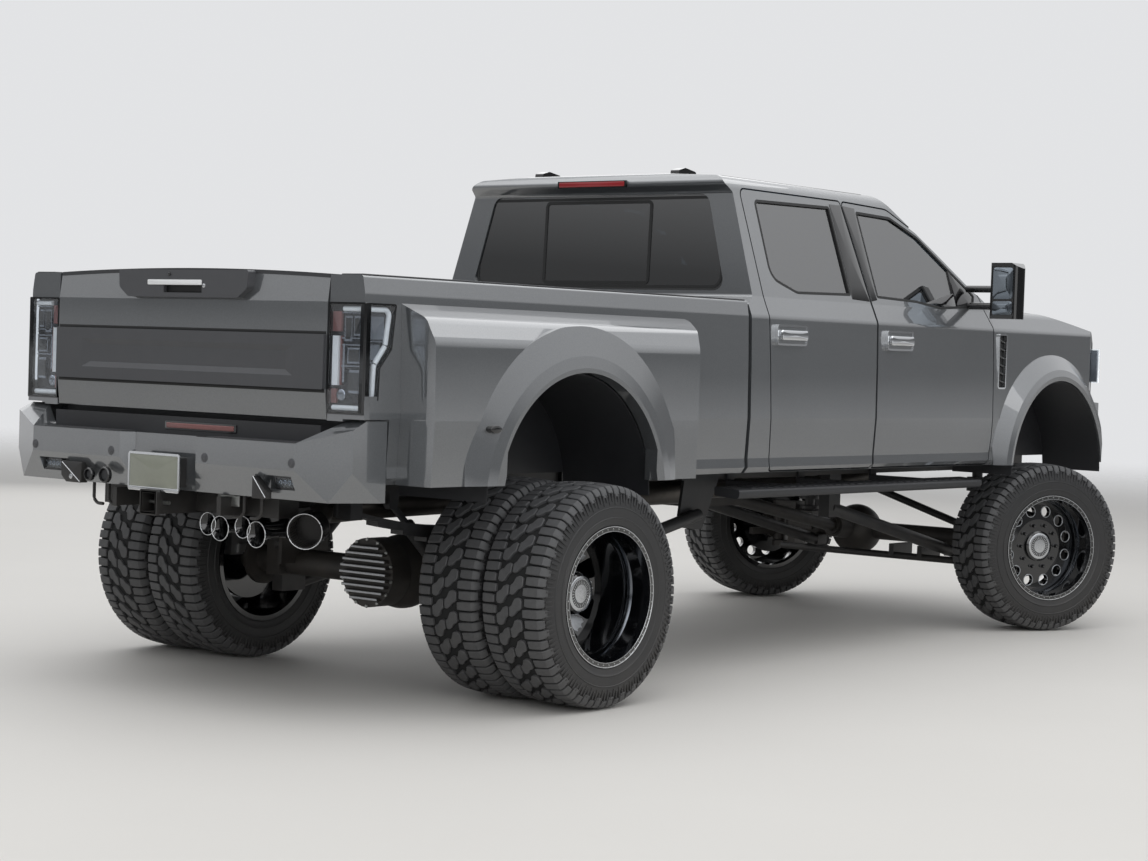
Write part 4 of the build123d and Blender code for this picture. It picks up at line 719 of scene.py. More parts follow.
def new_piece(name: str, shape: Shape, finish: Finish, body: str, crease: Crease,
              more: tuple[Finish, ...] = (), index: np.ndarray | None = None) -> bpy.types.Object:
    """Make an object from points and faces, turn its faces outwards, dress it and let it ride.

    Args:
        name: Piece name.
        shape: Points in metres and faces; a face that repeats its last point is a triangle.
        finish: Its finish.
        body: CAD body that it moves with.
        crease: Which edges stay hard.
        more: Further finishes of the same piece.
        index: Number of each face's finish, with 0 for the first one.

    Returns:
        The new object.
    """
    points, faces = shape
    rows = [row if row[2] != row[3] else row[:3] for row in faces.tolist()]
    mesh = bpy.data.meshes.new(name)
    mesh.from_pydata(points.tolist(), [], rows)
    if index is not None:
        mesh.polygons.foreach_set("material_index", index)
    work = bmesh.new()
    work.from_mesh(mesh)
    bmesh.ops.remove_doubles(work, verts=work.verts, dist=1e-6)
    bmesh.ops.recalc_face_normals(work, faces=work.faces)
    work.to_mesh(mesh)
    work.free()
    mesh.polygons.foreach_set("use_smooth", np.ones(len(mesh.polygons), bool))
    mesh.set_sharp_from_angle(angle=math.radians(crease.value))
    for coat in (finish, *more):
        mesh.materials.append(coat.make())
    piece = add_object(name, mesh)
    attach(piece, body)
    LOG.info("%s: %d faces on %s", name, len(rows), body)
    return piece


def fit(name: str, shape: Shape, finish: Finish, crease: Crease = Crease.PLAIN,
        body: str = "chassis") -> bpy.types.Object:
    """Make a piece from a shape in millimetres from the rear axle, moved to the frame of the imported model."""
    points, faces = shape
    return new_piece(name, (points / MM + np.array([SHIFT_X, 0.0, 0.0]), faces), finish, body, crease)


def fit_pair(name: str, shape: Shape, finish: Finish, crease: Crease = Crease.PLAIN) -> bpy.types.Object:
    """Make one fixed piece from a left shape and its mirror image."""
    return fit(name, both_sides(shape), finish, crease)


@dataclass(frozen=True)
class SlabRow:
    """One flat piece of a sub-assembly: its name, finish, outline and depth."""

    name: str
    finish: Finish
    face: Face
    rows: Rows
    w0: float
    w1: float
    soften: float = 1.5
    pair: bool = False

    def build(self, body: str = "chassis") -> None:
        """Make the piece, with its mirror image where it comes in a pair."""
        shape = slab(self.face, self.rows, self.w0, self.w1, self.soften)
        fit(self.name, both_sides(shape) if self.pair else shape, self.finish, body=body)


@dataclass
class TailLamp:
    """Wrap-round lamp: clear lens, dark housing, a bright guide like a C, a white bar and pale red reflectors."""

    lens_rows: tuple[Corner, ...] = (
        (-1150, 1208, 4), (-1069, 1208, 4), (-1061, 1389, 20), (-997, 1463, 20), (-976, 1640, 10), (-1150, 1640, 6),
    )
    housing_rows: tuple[Corner, ...] = (
        (-1116, 1214, 4), (-1077, 1214, 4), (-1069, 1392, 20), (-1005, 1466, 20), (-984, 1633, 8), (-1116, 1633, 4),
    )
    guide_path: tuple[Point, ...] = (
        (-1130, 880, 1616), (-1130, 984, 1616), (-1112, 992, 1616), (-1016, 992, 1616), (-1000, 992, 1600),
        (-1019, 992, 1476), (-1080, 992, 1400), (-1087, 992, 1246), (-1100, 992, 1232), (-1114, 992, 1232),
        (-1130, 982, 1232), (-1130, 832, 1232),
    )
    # X, Y and Z of both ends of each block
    blocks: tuple[tuple[float, ...], ...] = (
        (-1132, -1122, 884, 925, 1490, 1588), (-1133, -1122, 935, 972, 1512, 1588),
        (-1134, -1122, 905, 972, 1405, 1466), (-1130, -1122, 874, 886, 1330, 1480),
        (-1133, -1122, 915, 972, 1290, 1380), (-1118, -1024, 983, 990, 1500, 1588),
        (-1118, -1046, 983, 991, 1420, 1480), (-1118, -1096, 983, 990, 1262, 1380),
    )
    windows: tuple[tuple[float, ...], ...] = (
        (-1136, -1133, 893, 918, 1500, 1580), (-1137, -1134, 914, 964, 1300, 1370),
        (-1138, -1135, 914, 964, 1412, 1459), (-1136, -1133, 941, 966, 1520, 1580),
    )
    reds: tuple[tuple[float, ...], ...] = (
        (-1134, -1122, 822, 868, 1528, 1606), (-1134, -1122, 822, 850, 1250, 1306),
        (-1134, -1122, 866, 872, 1319, 1511),
    )
    inner_y: float = 816.0
    outer_y: float = 1011.0
    rib: float = 5.0

    def lens(self) -> Shape:
        """Clear skin on the rear and on the side, bent round the bed's corner."""
        return joined([slab(Face.REAR, rectangle(self.inner_y, self.outer_y, 1208, 1640, 5), 1146, 1150),
                       slab(Face.SIDE, inset(outline(self.lens_rows), 0.5), self.outer_y - 4, self.outer_y)])

    def housing(self) -> Shape:
        """Dark body behind the lens."""
        rear = rectangle(self.inner_y + 3, self.outer_y - 28, 1214, 1634, 4)
        return joined([slab(Face.REAR, rear, 1079, 1124, 3.0),
                       slab(Face.SIDE, self.housing_rows, 880, self.outer_y - 26, 3.0)])

    def rim(self) -> Shape:
        """Thin black edge round the whole lamp."""
        rear = rectangle(self.inner_y - 1, self.outer_y, 1207, 1641, 5)
        return joined([frame_band(Face.REAR, rear, 7, 1120, 1150.6),
                       frame_band(Face.SIDE, self.lens_rows, 7, 985, self.outer_y + 0.6)])

    def bright(self) -> Shape:
        """Blocks, ribs and a bowl behind the lens."""
        ribs = [(-1136, -1122, 874, 972, z, z + self.rib) for z in (1392, 1474, 1500, 1598)]
        ribs += [(-1118, -1030, 983, 994, z, z + self.rib) for z in (1408, 1490)]
        bowl = slab(Face.REAR, round_rows(872, 1282, 24), 1122, 1134, 5.0)
        return joined([boxes([*self.blocks, *ribs]), bowl])

    def build(self) -> None:
        """Make both lamps in place of the CAD solids."""
        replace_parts(fit_pair("tail_lamp_lenses", self.lens(), Finishes.SMOKED_LENS), "tail_lamps")
        for name, shape, finish in (
            ("housings", self.housing(), Finishes.LAMP_DARK),
            ("guides", bar_along(self.guide_path, 11.0, 12.0, 12), Finishes.WHITE_LENS),
            ("rims", self.rim(), Finishes.GLOSS_PLASTIC), ("reflectors", self.bright(), Finishes.LAMP_BRIGHT),
            ("windows", boxes(self.windows), Finishes.GLOSS_PLASTIC),
            ("white_bars", box_shape(-1140, -1122, 829, 861, 1319, 1511), Finishes.WHITE_LENS),
            ("red_reflectors", boxes(self.reds), Finishes.PINK_LENS),
        ):
            fit_pair(f"tail_lamp_{name}", shape, finish, Crease.SOFT)


@dataclass
class TailgateTrim:
    """Cap strip on the crowned top, dark strips as painted shade at the panel gaps, handle bar, lock and camera."""

    half: float = 806.0
    crown: float = 20.0
    crown_half: float = 809.0
    top_z: float = 1748.0
    lean: float = 0.126
    crease: tuple[float, float] = (-1152.0, 1642.0)
    stations: int = 41
    # Height over the top edge, offset from the rear face, and share of the rear face in X
    section: tuple[Point, ...] = (
        (-13, -2.2, 1), (2.5, -2.2, 1), (2.5, -1078.5, 0), (-9, -1078.5, 0), (-9, -1081, 0), (0, -1081, 0),
        (0, -0.2, 1), (-13, -0.2, 1),
    )
    pieces: tuple[SlabRow, ...] = (
        # Both panel gaps are flat dark strips: painted shade where the gaps lie
        SlabRow("tailgate_gap_low_painted_shade", Finishes.SEAL_RUBBER, Face.REAR, rectangle(-805, 805, 1287, 1301), 1140, 1153),
        SlabRow("tailgate_gap_high_painted_shade", Finishes.SEAL_RUBBER, Face.REAR, rectangle(-805, 805, 1514, 1527), 1140, 1153),
        SlabRow("tailgate_handle_pocket", Finishes.SEAL_RUBBER, Face.REAR, rectangle(-119, 109, 1669, 1711, 3),
                1160, 1166),
        SlabRow("tailgate_handle_bar", Finishes.WHITE_LENS, Face.REAR, rectangle(-120, 206, 1699, 1721, 5),
                1176, 1187, 3.0),
        SlabRow("tailgate_lock", Finishes.CHROME, Face.REAR, round_rows(-134, 1697, 9), 1178, 1185, 2.0),
        SlabRow("tailgate_camera", Finishes.GLOSS_PLASTIC, Face.REAR, round_rows(75, 1743, 8), 1178, 1187, 2.0),
    )

    def cap(self) -> Shape:
        """Strip along the top edge.

        One section runs along Y, lifted by the crown's parabola, and its rear lip follows the leaning upper band:
        X is the crease's X plus the lean times the height above the crease.
        """
        section = np.array(self.section)
        crease_x, crease_z = self.crease
        y = np.linspace(-self.half, self.half, self.stations)[:, None]
        z = self.top_z + section[:, 0] + self.crown * (1 - (y / self.crown_half) ** 2)
        x = section[:, 1] + section[:, 2] * (crease_x + self.lean * (z - crease_z))
        points = np.stack([x, np.broadcast_to(y, x.shape), z], axis=-1).reshape(-1, 3)
        ends = np.array([[0, 1, 6, 7], [1, 2, 5, 6], [2, 3, 4, 5]])
        last = ends + (self.stations - 1) * len(section)
        return points, np.concatenate([grid_faces(self.stations, len(section), True), ends[:, ::-1], last])

    def build(self) -> None:
        """Make the trim; all of it swings with the tailgate."""
        fit("tailgate_cap_strip", self.cap(), Finishes.MOULDED_PLASTIC, body=TAILGATE)
        for row in self.pieces:
            row.build(TAILGATE)


@dataclass
class RearBumperFittings:
    """Parking sensors, pocket lamps, bare plate, tow plates, trailer sockets and the step pad."""

    back: float = 1290.0
    sensors: tuple[tuple[float, float], ...] = ((-774, 1013), (-283, 1009), (283, 1009), (774, 1013))
    # Y, Z and radius of each trailer socket
    sockets: tuple[Point, ...] = ((418, 903, 28), (318, 906, 34))

    def discs(self) -> Shape:
        """Parking sensors in their rings."""
        return joined([slab(Face.REAR, round_rows(y, z, radius), self.back - 4, self.back + out, soften)
                       for y, z in self.sensors for radius, out, soften in ((19, 1.2, 0.8), (11, 2.6, 1.0))])

    def pocket_lamps(self) -> None:
        """Lamp of four bowls in each outer pocket."""
        bezel = slab(Face.REAR, rectangle(646, 756, 908, 956, 5), 1216, 1236, 2.0)
        frame = frame_band(Face.REAR, rectangle(646, 756, 908, 956, 6), 6, 1234, 1250)
        fit_pair("bumper_lamp_bezels", joined([bezel, frame]), Finishes.GLOSS_PLASTIC)
        bowls = [slab(Face.REAR, round_rows(y, 932, radius, count), w0, w1, soften) for y in (664, 689, 714, 739)
                 for radius, count, w0, w1, soften in ((11.5, 16, 1234, 1240, 2.0), (5, 12, 1238, 1246, 2.5))]
        fit_pair("bumper_lamp_bowls", joined(bowls), Finishes.LAMP_BRIGHT)
        glass = slab(Face.REAR, rectangle(650, 752, 912, 952, 5), 1247, 1249, 0.8)
        fit_pair("bumper_lamp_lenses", glass, Finishes.CLEAR_LENS)

    def tow_plates(self) -> None:
        """Black eye plates with a machined slanted edge, one beside each pocket."""
        plates = [slab(Face.REAR, rows, 1262, 1297, 2.0) for rows in (
            ((462, 864, 8), (560, 864, 8), (592, 892, 8), (592, 952, 6), (462, 952, 6)),
            ((-640, 866, 3), (-566, 866, 3), (-566, 956, 3), (-640, 900, 3)),
        )]
        fit("tow_eye_plates", joined(plates), Finishes.CHASSIS_STEEL)
        edges = [bar_along([(-1297, 470, 868), (-1297, 586, 946)], 2.4),
                 bar_along([(-1297, -570, 952), (-1297, -642, 872)], 2.4),
                 slab(Face.REAR, round_rows(528, 888, 11), 1295, 1298.5, 1.0)]
        fit("tow_eye_edges", joined(edges), Finishes.MACHINED_ALLOY, Crease.SOFT)

    def trailer_sockets(self) -> None:
        """Two round sockets with their lids, turned about an axis that points to the rear."""
        rings, lids = [], []
        for y, z, r in self.sockets:
            ring = [(0, 0), (0, r), (14, r), (18, r - 4), (18, r - 8), (6, r - 11), (6, 0)]
            lid = [(0, 0), (0, r - 10), (3, r - 12), (5, 0)]
            rings.append(aimed(turned(ring, 40), (-1282, y, z), BACKWARD))
            lids.append(aimed(turned(lid, 40), (-1288, y, z), BACKWARD))
        fit("trailer_socket_rings", joined(rings), Finishes.GLOSS_PLASTIC, Crease.TURNED)
        fit("trailer_socket_lids", joined(lids), Finishes.MOULDED_PLASTIC, Crease.TURNED)

    def build(self) -> None:
        """Make all the fittings on the fixed body."""
        self.pocket_lamps()
        self.tow_plates()
        self.trailer_sockets()
        border = [frame_band(Face.REAR, rectangle(-155, 155, 857, 1015, 14), 10, 1302.5, 1307.5),
                  slab(Face.REAR, rectangle(-150, 150, 857, 874, 4), 1303, 1308.5, 1.0)]
        pad = [slab(Face.TOP, rectangle(-1262, -1172, 255, 770, 4), 1088, 1091.5)]
        pad += [slab(Face.TOP, rectangle(x, x + 6, 262, 763, 2), 1091, 1093.5, 1.0)
                for x in range(-1254, -1176, 14)]
        fit("parking_sensors", self.discs(), Finishes.SATIN_PANEL)
        fit("plate_blank", slab(Face.REAR, rectangle(-150, 150, 862, 1010, 12), 1304, 1305.5, 0.6),
            Finishes.PLATE_PAINT)
        fit("plate_border", joined(border), Finishes.CHROME)
        fit("plate_bracket", slab(Face.REAR, rectangle(-130, 130, 880, 1000, 6), 1240, 1303, 2.0),
            Finishes.CHASSIS_STEEL)
        fit_pair("step_pads", joined(pad), Finishes.MOULDED_PLASTIC)
        fit("step_lamp_frame", slab(Face.REAR, rectangle(-330, 96, 1106, 1141, 4), 1158, 1168, 2.0),
            Finishes.GLOSS_PLASTIC)
        fit("step_lamp_strip", slab(Face.REAR, rectangle(-318, 84, 1113, 1134, 4), 1166, 1171, 2.0),
            Finishes.PINK_LENS)
        fit("step_back_wall", boxes([(-1163, -1154, -800, 800, 1040, 1160), (-1068, -1060, -840, 840, 1052, 1178)]),
            Finishes.MOULDED_PLASTIC)


@dataclass
class HitchFittings:
    """Chain plates, bent brackets, the receiver's collar and its cross pin."""

    # Y of each bent bracket, and the side to which its foot turns
    brackets: tuple[tuple[float, float], ...] = ((497, 1), (402, 1), (-419, -1), (-518, -1))

    def build(self) -> None:
        """Make them on the fixed body."""
        fit("receiver_collar", frame_band(Face.REAR, rectangle(-52, 52, 762, 866, 8), 13, 1312, 1330),
            Finishes.CHASSIS_STEEL)
        plates = [slab(Face.REAR, rectangle(y0, y1, 775, 862, 6), 1180, 1188, 1.0)
                  for y0, y1 in ((-330, -250), (60, 118))]
        fit("hitch_plates", joined(plates), Finishes.CHASSIS_STEEL)
        fit("bare_label_plate", slab(Face.REAR, rectangle(-388, -263, 816, 860, 3), 1190, 1194, 1.0),
            Finishes.ZINC_BOLTS)
        pin = bar_along([(-1285, -78, 814), (-1285, 70, 814)], 7.6, 0, 14)
        clip = bar_along([(-1285, 66, 826), (-1276, 66, 796), (-1294, 66, 790), (-1290, 66, 830)], 1.6, 6.0, 8)
        fit("hitch_pin", joined([pin, clip]), Finishes.ZINC_BOLTS)
        arms = [bar_along([(-1195, y, 868), (-1195, y, 795), (-1195, y - way * 22, 776), (-1195, y - way * 60, 776)],
                          7.0, 12.0, 8) for y, way in self.brackets]
        fit("bent_brackets", joined(arms), Finishes.CHASSIS_STEEL)


@dataclass
class DoorTrim:
    """Window seals, black pillar covers, bright handles and black sail panel of one door side."""

    side: Side
    windows: tuple[tuple[str, tuple[Corner, ...]], ...] = (
        ("front", ((2668, 1805, 15), (2638, 2248, 15), (2972, 2240, 90), (3216, 2152, 200), (3700, 1858, 15),
                   (3660, 1790, 15), (3300, 1770, 90), (3060, 1795, 120))),
        ("rear", ((1716, 1862, 90), (1714, 2244, 30), (2393, 2256, 15), (2420, 1806, 15), (1925, 1796, 120))),
    )
    pillars: tuple[tuple[str, tuple[Corner, ...]], ...] = (
        ("front", ((2609, 1786, 3), (2664, 1795, 3), (2634, 2262, 3), (2519, 2268, 3))),
        ("rear", ((2424, 1790, 3), (2588, 1784, 3), (2503, 2268, 3), (2397, 2268, 3))),
    )
    sails: tuple[tuple[Corner, ...], ...] = (
        ((3470, 1782, 2), (3470, 1994, 2), (3692, 1860, 6), (3656, 1793, 8)),
        ((3140, 1793, 2), (3300, 1774, 40), (3474, 1781, 2), (3474, 1862, 2)),
    )
    # Door, then X and Z of the handle's cup
    handles: tuple[tuple[str, float, float, float, float], ...] = (
        ("front", 2675, 2930, 1542, 1640), ("rear", 1668, 1925, 1545, 1642),
    )
    # Z and corner radius of the mirror's large and small glass
    mirrors: tuple[Point, ...] = ((1838, 2006, 14), (1754, 1826, 12))

    def add(self, name: str, shape: Shape, finish: Finish, door: str) -> None:
        """Make one piece of this side, drawn for the left."""
        word = self.side.word
        fit(f"{name}_{word}", on_side(shape, self.side), finish, body=f"{door}_door_{word}")

    def build(self) -> None:
        """Make the trim of both doors."""
        for door, rows in self.windows:
            seal = frame_band(Face.SIDE, inset(rounded_loop(rows, 8), 0.4), 13, -9.5, 0.8)
            self.add(f"window_seal_{door}", on_body(seal), Finishes.SEAL_RUBBER, door)
        for door, rows in self.pillars:
            cover = slab(Face.SIDE, rows, -0.5, 1.3, 0.6)
            self.add(f"pillar_cover_{door}", on_body(cover), Finishes.GLOSS_PLASTIC, door)
        sail = joined([slab(Face.SIDE, rows, -8.6, -1.0, 1.0) for rows in self.sails])
        self.add("sail_panel", on_body(sail), Finishes.GLOSS_PLASTIC, "front")
        for door, x0, x1, z0, z1 in self.handles:
            strap = slab(Face.SIDE, rectangle(x0 + 16, x1 - 16, z0 + 24, z1 - 24, 12), 1018, 1040, 7.0)
            bezel = frame_band(Face.SIDE, rectangle(x0 - 1, x1 + 1, z0 - 1, z1 + 1, 15), 9, 1000, 1022)
            self.add(f"handle_{door}", joined([strap, bezel]), Finishes.CHROME, door)
        glass = [slab(Face.REAR, rectangle(1124, 1242, z0, z1, radius), -3566, -3562.5, 1.0)
                 for z0, z1, radius in self.mirrors]
        self.add("mirror_glass", joined(glass), Finishes.MIRROR_GLASS, "front")


@dataclass
class BodyTrim:
    """Bed rail caps, arch liners, roof mouldings, side vents, side markers and rear window frame."""

    # Name, X and Z of the centre, radius, Y of the wall and of the rim, and Z of the wall's foot
    arches: tuple[tuple[str, float, float, float, float, float, float], ...] = (
        ("rear", -26.0, 846.0, 543.0, 669.0, 1148.0, 940.0), ("front", 4500.0, 862.0, 541.0, 696.0, 1066.0, 960.0),
    )
    sheet: float = 3.0
    arch_steps: int = 45
    cab_back: tuple[tuple[float, float], ...] = ((1770.0, 1536.0), (2268.0, 1556.0))
    board_top: tuple[tuple[float, float], ...] = ((858.0, 866.2), (1000.0, 856.6))
    pieces: tuple[SlabRow, ...] = (
        SlabRow("bed_rail_caps", Finishes.MOULDED_PLASTIC, Face.TOP, rectangle(-1140, 1440, 862, 984, 10),
                1746, 1752, 3.0, True),
        SlabRow("bed_front_cap", Finishes.MOULDED_PLASTIC, Face.TOP, rectangle(1405, 1444, -860, 860, 3),
                1746, 1752, 3.0),
        SlabRow("vent_backs", Finishes.SEAL_RUBBER, Face.SIDE, rectangle(3873, 3949, 1361, 1649, 4),
                988, 993, 0.5, True),
    )

    def liners(self) -> None:
        """Black liner in each wheel arch: a curved shell and the wall at its inner end."""
        steps = self.arch_steps
        turn = np.radians(np.linspace(2, 178, steps))
        last = 4 * steps - 1
        ends = np.array([[0, 1, 2, 3], [last, last - 1, last - 2, last - 3]])
        for word, x, z, radius, y0, y1, low in self.arches:
            inner = radius - self.sheet
            rings = [np.column_stack([x + r * np.cos(turn), np.full(steps, y), z + r * np.sin(turn)])
                     for r, y in ((radius, y0), (radius, y1), (inner, y1), (inner, y0))]
            shell = np.stack(rings, axis=1).reshape(-1, 3), np.concatenate([grid_faces(steps, 4, True), ends])
            start = math.asin((low - z) / inner)
            rim = np.linspace(start, math.pi - start, 40)
            edge = np.column_stack([x + inner * np.cos(rim), z + inner * np.sin(rim)])
            wall = slab(Face.SIDE, edge, y0, y0 + 4, 1.0)
            fit_pair(f"arch_liners_{word}", joined([shell, wall]), Finishes.MOULDED_PLASTIC, Crease.TURNED)

    def build(self) -> None:
        """Make the trim on the fixed body."""
        for row in self.pieces:
            row.build()
        self.liners()
        ribs = [slab(Face.TOP, rectangle(-1050, 1430, y - 22, y + 22, 4), 1209, 1217, 3.0)
                for y in range(-585, 586, 90)]
        fit("bed_floor_ribs", joined(ribs), Finishes.MOULDED_PLASTIC)
        ditch = slab(Face.TOP, rectangle(1592, 2866, 694, 712, 6), 2344, 2353, 2.0)
        fit_pair("roof_mouldings", ditch, Finishes.GLOSS_PLASTIC)
        lamp = slab(Face.REAR, rectangle(-206, 206, 2301, 2326, 6), -1489.5, -1486.5, 1.0)
        fit("high_brake_lamp", lamp, Finishes.RED_LENS)
        slider = frame_band(Face.REAR, rectangle(-338, 338, 1822, 2236, 26), 16, -1.0, 2.5)
        window = frame_band(Face.REAR, rounded_loop(rectangle(-776, 776, 1806, 2252, 60), 8), 14, -1.0, 1.5)
        fit("rear_window_frames", laid(joined([slider, window]), 0, self.cab_back), Finishes.SEAL_RUBBER)
        treads = joined([slab(Face.TOP, rectangle(x, x + 46, 884, 978, 8), 0, 3.2) for x in range(1560, 3600, 68)])
        fit_pair("running_board_treads", laid(treads, 2, self.board_top, 1), Finishes.MOULDED_PLASTIC)
        fins = [slab(Face.SIDE, ((3876, z, 1), (3945, z - 16, 1), (3945, z - 8, 1), (3876, z + 8, 1)), 992, 1006, 1.0)
                for z in range(1400, 1650, 44)]
        fit_pair("vent_fins", joined(fins), Finishes.GLOSS_PLASTIC)
        ring = frame_band(Face.SIDE, rectangle(3866, 3957, 1353, 1657, 16), 9, 996, 1013)
        fit_pair("vent_frames", ring, Finishes.CHROME)
        marker = slab(Face.SIDE, round_rows(-605, 1161, 34, 24, 17), 1196, 1226, 6.0)
        fit_pair("side_markers", marker, Finishes.GLOSS_PLASTIC)


@dataclass
class FrontEnd:
    """What the headlamps show inside, the grille's surround, fog lamps and wipers."""

    nose: float = 5440.0
    lamp_z: float = 1500.0
    # X and Z of the screen's foot, its fall in X by height, and by the square of Y
    screen: tuple[float, float, float, float] = (3945.0, 1800.0, 945 / 530, 1 / 9000)
    wiper_steps: int = 14
    guide_path: tuple[Point, ...] = (
        (5225, 585, 1586), (5225, 760, 1586), (5140, 925, 1586), (5140, 925, 1412), (5225, 760, 1412),
        (5225, 585, 1412),
    )
    surround: tuple[Corner, ...] = ((-556, 1300, 40), (556, 1300, 40), (561, 1612, 40), (-561, 1612, 40))
    opening: tuple[Corner, ...] = ((-500, 1346, 25), (500, 1346, 25), (503, 1566, 25), (-503, 1566, 25))

    def lamps(self) -> None:
        """Dark bowls with two projectors and a bright guide inside each clear lamp block."""
        back = slab(Face.TOP, ((5088, 566, 2), (5088, 1002, 2), (5100, 1000, 2), (5108, 566, 2)), 1406, 1592, 2.0)
        shade = turned([(0, 0), (0, 50), (120, 74), (126, 72), (20, 46), (14, 0)], 48)
        eye = turned([(0, 0), (0, 40), (16, 38), (34, 27), (44, 12), (46, 0)], 40)
        shades = [aimed(shade, (x, y, self.lamp_z), FORWARD) for x, y in ((5106, 660), (5100, 810))]
        eyes = [aimed(eye, (x, y, self.lamp_z), FORWARD) for x, y in ((5128, 660), (5122, 810))]
        bars = [slab(Face.FRONT, rectangle(580, 900, z, z + 7, 2), 5106, 5180) for z in (1416, 1574)]
        fit_pair("headlamp_backs", back, Finishes.LAMP_BRIGHT)
        fit_pair("headlamp_shades", joined(shades), Finishes.LAMP_DARK, Crease.TURNED)
        fit_pair("headlamp_projectors", joined([*eyes, *bars]), Finishes.LAMP_BRIGHT, Crease.TURNED)
        fit_pair("headlamp_guides", bar_along(self.guide_path, 5.5, 14.0), Finishes.WHITE_LENS, Crease.ROUND)

    def fog_lamps(self) -> None:
        """Square lamps in the bumper's two holes."""
        square, nose = rectangle(642, 728, 1112, 1178, 6), self.nose
        bowls = [slab(Face.FRONT, round_rows(y, 1145, 17), nose - 72, nose - 62, 4.0) for y in (664, 706)]
        fit_pair("fog_lamp_bezels", slab(Face.FRONT, square, nose - 96, nose - 70, 2.0), Finishes.GLOSS_PLASTIC)
        fit_pair("fog_lamp_bowls", joined(bowls), Finishes.LAMP_BRIGHT)
        fit_pair("fog_lamp_lenses", slab(Face.FRONT, square, nose - 58, nose - 56, 0.8), Finishes.CLEAR_LENS)

    def wipers(self) -> None:
        """Two wipers that lie on the bowed screen: X falls with the height and with the square of Y."""
        foot_x, foot_z, slope, bow = self.screen
        for name, radius, lift, low, high, spans in (
            ("arms", 6.0, 17.0, 1812, 1846, ((560, 60), (-40, -560))),
            ("blades", 4.5, 9.0, 1836, 1850, ((430, -190), (-160, -760))),
        ):
            shapes = []
            for y0, y1 in spans:
                y, z = (np.linspace(*ends, self.wiper_steps) for ends in ((y0, y1), (low, high)))
                x = foot_x - (z - foot_z) * slope - y ** 2 * bow + lift
                shapes.append(tube_shape(np.column_stack([x, y, z + lift * 0.4]), radius, 8))
            fit(f"wiper_{name}", joined(shapes), Finishes.SEAL_RUBBER, Crease.ROUND)

    def build(self) -> None:
        """Make the front pieces on the fixed body."""
        self.lamps()
        self.fog_lamps()
        self.wipers()
        band = frame_band(Face.FRONT, inset(rounded_loop(self.surround, 7), 4), 16, 5318, 5325)
        rim = frame_band(Face.FRONT, inset(rounded_loop(self.opening, 7), -8), 8, 5318, 5322)
        fit("grille_surround", joined([band, rim]), Finishes.CHROME)
        mesh = [slab(Face.FRONT, rectangle(y - 3, y + 3, 1345, 1567, 1), 5262, 5268, 1.0)
                for y in range(-480, 481, 32)]
        fit("grille_mesh", joined(mesh), Finishes.GLOSS_PLASTIC)


@dataclass(frozen=True)
class SeatRow:
    """One seat: its name, the rear end of the cushion, its two sides and Y of each head rest."""

    name: str
    x: float
    y0: float
    y1: float
    heads: tuple[float, ...]


